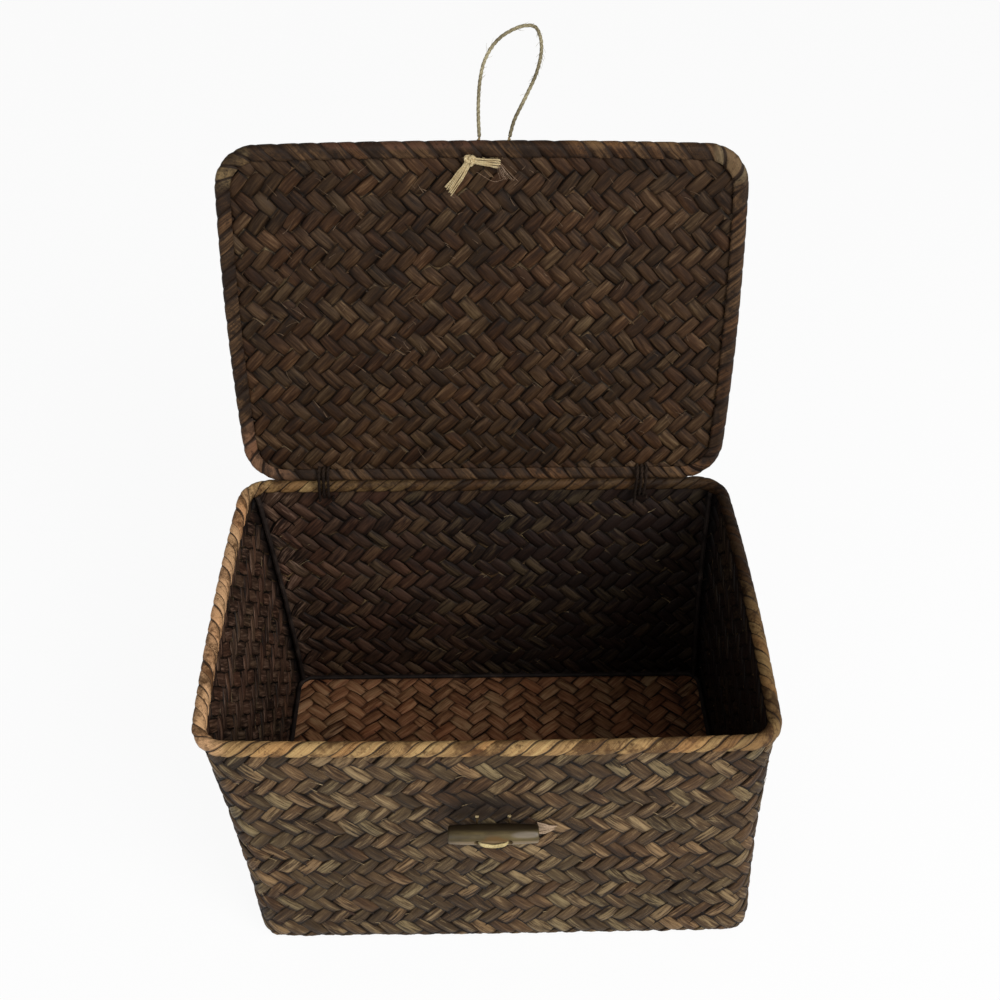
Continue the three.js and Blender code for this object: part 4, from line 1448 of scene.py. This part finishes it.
class MakeLoop(bpy.types.Operator):
    """Lays the free loop of twine that closes over the toggle."""

    bl_idname = "leaf_box.loop"
    bl_label = "Closure loop"

    def execute(self, context):
        path = loop_path()
        bare_end = 28
        lines = twine_lines(path, lay=9 * MM, count=3)
        lines += fuzz_lines(path[bare_end:-bare_end], count=70, length=2.2 * MM, seed=91)
        tan = twine_finish("loop_twine", (rgb(86, 78, 60), colours().twine, rgb(178, 168, 136)))
        piece = fibre_piece("closure_loop_twine", lines, tan, "loop", "closure_loop")
        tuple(path[0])
        return {"FINISHED"}


class MakeWalls(bpy.types.Operator):
    """Weaves the walls and the bottom of the body, strip by strip."""

    bl_idname = "leaf_box.walls"
    bl_label = "Walls and bottom"

    def execute(self, context):
        leaf = self.leaf()
        rounds = sizes().floats_round
        halves = (("front", range(rounds // 2)), ("back", range(rounds // 2, rounds)))
        for family, rising in FAMILIES:
            for half, numbers in halves:
                wall_strips(f"walls_{family}_strips_{half}", rising, numbers, leaf)
        self.bottom(leaf)
        return {"FINISHED"}

    def bottom(self, leaf):
        """The flat bottom inside the foot, raised a little so that no strip dips through the ground."""
        gap = 0.5 * MM
        raised = 0.15 * MM
        half_x = BASE_HALF_X - FOOT_RADIUS - gap
        half_y = BASE_HALF_Y - FOOT_RADIUS - gap
        thickness = sizes().strip_thickness
        twill = Twill(4.7 * MM, sizes().wall_row / 4, sizes().relief, thickness, seed=5)
        data = flat_cloth("bottom_strips", twill, half_x, half_y, corner=5 * MM)
        data.transform(Matrix.Translation((0, 0, WALL / 2 + raised)))
        leaf_piece("bottom_strips", data, thickness, leaf, "box", "woven_body")

    def leaf(self):
        """The body's leaf, with a painted shadow over the toggle, and painted light and shade inside."""
        tones = colours()
        outside = (tones.leaf_dark, tones.leaf_middle, tones.leaf_light, tones.leaf_pale)
        # The inside tones: darker partly for the leaf's own darker inner face, partly as painted shade inside the
        # box
        inside = (rgb(15, 9, 8), tones.inner_leaf, rgb(39, 26, 20), rgb(56, 41, 31))
        # Painted shadow above the toggle, darkening the wall round its holes
        stain_and_shade = (TOGGLE_PIVOT + Vector((0, 0, 7 * MM)), (22 * MM, 30 * MM, 9 * MM))
        # Painted light: the inside grows paler towards the left
        painted_light_side = (-30 * MM, 116 * MM, rgb(94, 66, 50))
        return leaf_finish(
            "body_leaf", outside, inside, rgb(160, 136, 98), shadow_spot=stain_and_shade, painted_light_side=painted_light_side)


class MakeFloorPanel(bpy.types.Operator):
    """Weaves the loose panel that lies inside on the bottom."""

    bl_idname = "leaf_box.floor_panel"
    bl_label = "Floor panel"

    def execute(self, context):
        low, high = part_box("floor_panel")
        middle = (low + high) / 2
        half = (high - low) / 2
        twill = Twill(4.6 * MM, sizes().wall_row / 4, relief=0.5 * MM, thickness=0.6 * MM, seed=9)
        data = flat_cloth("floor_panel_strips", twill, half.y, half.x, corner=8 * MM)
        data.transform(Matrix.Translation(middle) @ Matrix.Rotation(math.pi / 2, 4, "Z"))
        tones = (rgb(62, 37, 25), colours().floor_leaf, rgb(150, 106, 74), rgb(178, 140, 102))
        leaf = leaf_finish("floor_leaf", tones, tones, rgb(168, 134, 98), gloss=0.5, sheen=0.15)
        leaf_piece("floor_panel_strips", data, twill.thickness, leaf, "box", "floor_panel")
        return {"FINISHED"}


class MakeLid(bpy.types.Operator):
    """Weaves the lid's panel."""

    bl_idname = "leaf_box.lid"
    bl_label = "Lid panel"

    def execute(self, context):
        twill = Twill(
            sizes().lid_float / 2, sizes().lid_row / 4, relief=0.55 * MM, thickness=0.7 * MM, seed=13)
        outside = (rgb(32, 22, 13), rgb(66, 49, 31), rgb(96, 77, 53), rgb(140, 120, 88))
        inside = (rgb(21, 13, 8), colours().lid_leaf, rgb(63, 44, 27), rgb(100, 78, 54))
        leaf = leaf_finish("lid_leaf", outside, inside, rgb(104, 82, 60), gloss=0.46, sheen=0.12)
        inset = 1.2 * MM
        outline = (LID_HALF_X - inset, LID_HALF_Y - inset, LID_CORNER - inset)
        for family, rising in FAMILIES:
            name = f"lid_{family}_strips"
            data = flat_cloth(name, twill, *outline, families=(rising,))
            data.transform(lid_pose() @ Matrix.Translation((0, -LID_HALF_Y, 0)))
            leaf_piece(name, data, twill.thickness, leaf, "lid", "lid_panel")
        return {"FINISHED"}


class MakeRimBinding(bpy.types.Operator):
    """Winds the leaf round the rim."""

    bl_idname = "leaf_box.rim_binding"
    bl_label = "Rim binding"

    def execute(self, context):
        outline = Outline(RIM_HALF_X, RIM_HALF_Y, RIM_CORNER, BOW, LEAN)
        widths = wrap_widths(outline.length, least=5 * MM, most=11 * MM, seed=21)
        data = wraps(
            "rim_wraps", outline, widths, slant=-1.2, radius=2.48 * MM, leg=2.6 * MM,
            leg_half=2.2 * MM, lap=sizes().wrap_lap, seed=22, place=rim_place)
        leaf_piece("rim_wraps", data, 0.5 * MM, self.leaf(), "box", "rim_binding")
        return {"FINISHED"}

    def leaf(self):
        """Tan leaf with painted shade along the back and the right, and pale on the left."""
        tones = (rgb(80, 54, 28), colours().binding, rgb(188, 158, 106))
        # Painted shade along the back and on the right
        shades = (
            ((0.4, 1, 0), 25 * MM, 85 * MM, (0.19, 0.17, 0.17, 1)),
            ((1, 0, 0), 75 * MM, 110 * MM, (0.52, 0.5, 0.49, 1)),
        )
        left = Vector((LEAN - RIM_HALF_X, -15 * MM, RIM_HEIGHT))
        patches = ((left, (14 * MM, 95 * MM, 14 * MM), rgb(226, 178, 134)),)
        return wrap_finish(
            "rim_leaf", tones, rgb(70, 46, 24), amount=0.85, seam=0.77, shades=shades, patches=patches)


class MakeLidBinding(bpy.types.Operator):
    """Winds the leaf round the lid's edge."""

    bl_idname = "leaf_box.lid_binding"
    bl_label = "Lid binding"

    def execute(self, context):
        outline = Outline(LID_HALF_X, LID_HALF_Y, LID_CORNER, BOW, centre_y=-LID_HALF_Y)
        widths = wrap_widths(outline.length, least=6.5 * MM, most=11.5 * MM, seed=31)
        data = wraps(
            "lid_wraps", outline, widths, slant=-0.85, radius=2.42 * MM, leg=4.4 * MM,
            leg_half=1.5 * MM, lap=sizes().wrap_lap, seed=32, place=lid_place)
        data.transform(lid_pose())
        leaf_piece("lid_wraps", data, 0.45 * MM, self.leaf(), "lid", "lid_binding")
        return {"FINISHED"}

    def leaf(self):
        """Dark brown leaf, paler at both top corners, the left foot and along the top."""
        tones = (rgb(26, 17, 10), colours().lid_binding, rgb(104, 78, 52))
        left = -LID_HALF_X + 5 * MM
        right = LID_HALF_X - 4 * MM
        top = LID_FRONT + 1 * MM
        corner_reach = (9 * MM, 14 * MM, 14 * MM)
        patches = (
            (lid_point(left, LID_FRONT - 8 * MM, 0), corner_reach, rgb(136, 116, 82)),
            (lid_point(left, 8 * MM, 0), (16 * MM, 10 * MM, 22 * MM), rgb(128, 94, 70)),
            (lid_point(-40 * MM, top, 0), (48 * MM, 8 * MM, 4 * MM), rgb(82, 54, 40)),
            (lid_point(66 * MM, top, 0), (26 * MM, 8 * MM, 4 * MM), rgb(116, 88, 58)),
            (lid_point(right, LID_FRONT - 6 * MM, 0), corner_reach, rgb(108, 94, 70)),
        )
        return wrap_finish(
            "lid_edge_leaf", tones, rgb(26, 17, 11), amount=0.8, seam=0.68, patches=patches)


class MakeHingeTies(bpy.types.Operator):
    """Ties the lid to the back wall."""

    bl_idname = "leaf_box.hinge_ties"
    bl_label = "Hinge ties"

    def execute(self, context):
        black = twine_finish("tie_twine", (rgb(14, 10, 8), rgb(30, 22, 17), rgb(52, 40, 31)))
        reach = RIM_HALF_X + RIM_CREST - TIE_INSET
        for name, side, tail in zip(("left", "right"), (-1, 1), TIE_TAILS):
            path = tie_path(LEAN + side * reach, tail)
            lines = twine_lines(path)
            lines += fuzz_lines(path, count=40, length=2 * MM, seed=61 + round(tail / MM))
            fibre_piece(f"tie_{name}_twine", lines, black, "box", f"hinge_tie_{name}")
        return {"FINISHED"}


class MakeLoopKnot(bpy.types.Operator):
    """Knots the loop's two ends on the lid's underside, with cut tails that spread."""

    bl_idname = "leaf_box.loop_knot"
    bl_label = "Loop knot"

    def execute(self, context):
        cream = twine_finish("knot_twine", (rgb(118, 98, 68), rgb(170, 150, 112), rgb(206, 190, 152)))
        fibre_piece("loop_knot_twine", loop_knot_lines(), cream, "lid", "loop_knot")
        straw = twine_finish("knot_hair", (rgb(92, 72, 52), rgb(128, 104, 84), rgb(170, 148, 128)))
        fibre_piece("loop_knot_hairs", loop_knot_hairs(), straw, "lid", "loop_knot", sides=1)
        return {"FINISHED"}


class MakeToggle(bpy.types.Operator):
    """Turns the toggle's bar, and stitches and knots its twine."""

    bl_idname = "leaf_box.toggle"
    bl_label = "Toggle"

    def execute(self, context):
        bar = new_piece("toggle_bar_turned", toggle_mesh(), toggle_finish(), "toggle", "toggle_bar")
        bar.data.set_sharp_from_angle(angle=math.radians(40))
        # Painted shade on the twine behind the bar and inside its bores
        shaded_span = (TOGGLE_CENTRE.y - 4.7 * MM, TOGGLE_CENTRE.y - 3.5 * MM)
        cream = (rgb(132, 113, 76), rgb(178, 160, 114), rgb(208, 194, 150))
        stitch = twine_finish("stitch_cream", cream, shaded_span)
        fibre_piece("toggle_twine_fibres", stitch_lines(), stitch, "toggle", "toggle_twine")
        clean = twine_finish("toggle_cream", (rgb(120, 100, 66), rgb(160, 142, 104), rgb(200, 186, 150)))
        fibre_piece("toggle_knot_twine", toggle_knot_lines(), clean, "box", "toggle_knot")
        return {"FINISHED"}


class MakeTornLeaf(bpy.types.Operator):
    """Lays the torn end of a leaf beside the toggle."""

    bl_idname = "leaf_box.torn_leaf"
    bl_label = "Torn leaf end"

    def execute(self, context):
        start = TOGGLE_PIVOT + Vector((19.8 * MM, 0.9 * MM, -7.6 * MM))
        end = start + Vector((8.6 * MM, 0, 0.2 * MM))
        lines = loose_end(
            start, end, sideways=Vector((0, 0, 1)), out=Vector((0, -MM, 0)),
            widths=(8.4 * MM, 1.4 * MM), count=16, radius=0.38 * MM, seed=119)
        pale = twine_finish("torn_leaf", (rgb(120, 99, 80), rgb(154, 131, 108), rgb(184, 162, 137)))
        fibre_piece("torn_leaf_end", lines, pale, "box", "woven_body")
        return {"FINISHED"}


class MakeStrayFibres(bpy.types.Operator):
    """Scatters the fibres that have come loose from the weave."""

    bl_idname = "leaf_box.stray_fibres"
    bl_label = "Stray fibres"

    def execute(self, context):
        length = mean_girth()

        def outside(x, y, height):
            place = wall_place(x / length, y + WALL_TOP / 2, height)
            return Vector([float(value) for value in place])

        def inside(x, y, height):
            return outside(x, y, -height)

        def under_lid(x, y, height):
            return lid_point(x, y + LID_HALF_Y, -height)

        half_x = length / 2
        slope = 0.75
        body = stray_fibres(330, 101, half_x, 0.42 * WALL_TOP, slope, outside)
        body += stray_fibres(60, 111, half_x, 0.4 * WALL_TOP, slope, inside)
        straw = twine_finish("stray_straw", (rgb(84, 70, 50), rgb(122, 104, 78), rgb(162, 144, 112)))
        fibre_piece("wall_stray_fibres", body, straw, "box", "woven_body", sides=1)
        slope = 1.05
        lid = stray_fibres(150, 121, 0.9 * LID_HALF_X, 0.9 * LID_HALF_Y, slope, under_lid)
        dull = twine_finish("stray_dull", (rgb(60, 46, 34), rgb(88, 70, 54), rgb(124, 104, 84)))
        fibre_piece("lid_stray_fibres", lid, dull, "lid", "lid_panel", sides=1)
        return {"FINISHED"}


class FinishWires(bpy.types.Operator):
    """Gives the wires their dull dark finish."""

    bl_idname = "leaf_box.wires"
    bl_label = "Wires"

    def execute(self, context):
        dark = wire_finish()
        for name, node in frame["nodes"].items():
            if material_slot(name) == "wire":
                node.data.materials.clear()
                node.data.materials.append(dark)
        return {"FINISHED"}


class MakeStage(bpy.types.Operator):
    """Sets the pale floor, the soft lamps and the pale world."""

    bl_idname = "leaf_box.stage"
    bl_label = "Stage"

    def execute(self, context):
        mesh = bmesh.new()
        bmesh.ops.create_grid(mesh, x_segments=1, y_segments=1, size=FLOOR_HALF)
        data = bpy.data.meshes.new("stage_floor")
        mesh.to_mesh(data)
        mesh.free()
        floor = bpy.data.objects.new("stage_floor", data)
        context.scene.collection.objects.link(floor)
        data.materials.append(self.floor_material())
        self.lamp(context, "key_lamp", Vector((0.95, -1.05, 1.15)), size=1.0, power=26)
        self.lamp(context, "fill_lamp", Vector((-0.6, -1.5, 0.75)), size=1.2, power=9)
        context.scene.world = self.pale_world()
        context.scene.view_settings.view_transform = "Standard"
        return {"FINISHED"}

    def floor_material(self):
        """Pale to the camera and in reflections, and a plain matt floor to everything else."""
        graph = new_graph("stage_floor")
        matt = graph.add("ShaderNodeBsdfDiffuse", inputs={"Color": FLOOR_GREY})
        bright = graph.add("ShaderNodeEmission", inputs={"Color": WHITE, "Strength": 1.0})
        rays = graph.add("ShaderNodeLightPath").outputs
        seen = Maths(graph, rays["Is Camera Ray"]) + Maths(graph, rays["Is Glossy Ray"])
        shaders = {0: seen * FLOOR_SHINE, 1: matt.outputs[0], 2: bright.outputs[0]}
        return graph.end(graph.add("ShaderNodeMixShader", inputs=shaders))

    def pale_world(self):
        """White to the camera, and a dimmer light to everything else."""
        graph = Graph(bpy.data.worlds.new("pale_world"), "ShaderNodeOutputWorld")
        soft = graph.add("ShaderNodeBackground", inputs={"Color": WHITE, "Strength": WORLD_LIGHT})
        white = graph.add("ShaderNodeBackground", inputs={"Color": WHITE, "Strength": 1.0})
        seen = graph.add("ShaderNodeLightPath").outputs["Is Camera Ray"]
        shaders = {0: seen, 1: soft.outputs[0], 2: white.outputs[0]}
        return graph.end(graph.add("ShaderNodeMixShader", inputs=shaders))

    def lamp(self, context, name, place, size, power):
        """A square soft lamp that faces the object."""
        data = bpy.data.lights.new(name, "AREA")
        data.size = size
        data.energy = power
        lamp = bpy.data.objects.new(name, data)
        lamp.location = place
        lamp.rotation_euler = (LAMP_AIM - place).to_track_quat("-Z", "Y").to_euler()
        context.scene.collection.objects.link(lamp)


OPERATORS = (
    MakeCamera, MakeLoop, MakeWalls, MakeFloorPanel, MakeLid, MakeRimBinding, MakeLidBinding,
    MakeHingeTies, MakeLoopKnot, MakeToggle, MakeTornLeaf, MakeStrayFibres, FinishWires, MakeStage,
)


class LeafBoxPanel(bpy.types.Panel):
    """Lists the steps and the values of the leaf box."""

    bl_idname = "VIEW3D_PT_leaf_box"
    bl_label = "Leaf box"
    bl_space_type = "VIEW_3D"
    bl_region_type = "UI"
    bl_category = "Leaf box"

    def draw(self, context):
        for operator in OPERATORS:
            self.layout.operator(operator.bl_idname)
        for group in (sizes(), colours()):
            for key in group.__annotations__:
                self.layout.prop(group, key)


CLASSES = (LeafBoxSizes, LeafBoxColours, *OPERATORS, LeafBoxPanel)


def register():
    """Adds the add-on's classes and its two groups of properties."""
    for made in CLASSES:
        bpy.utils.register_class(made)
    bpy.types.Scene.leaf_box_sizes = bpy.props.PointerProperty(type=LeafBoxSizes)
    bpy.types.Scene.leaf_box_colours = bpy.props.PointerProperty(type=LeafBoxColours)


def unregister():
    """Takes them out again."""
    del bpy.types.Scene.leaf_box_sizes
    del bpy.types.Scene.leaf_box_colours
    for made in reversed(CLASSES):
        bpy.utils.unregister_class(made)


def main():
    """Makes every piece."""
    register()
    for operator in OPERATORS:
        group, name = operator.bl_idname.split(".")
        getattr(getattr(bpy.ops, group), name)()


if __name__ == "__main__":
    main()
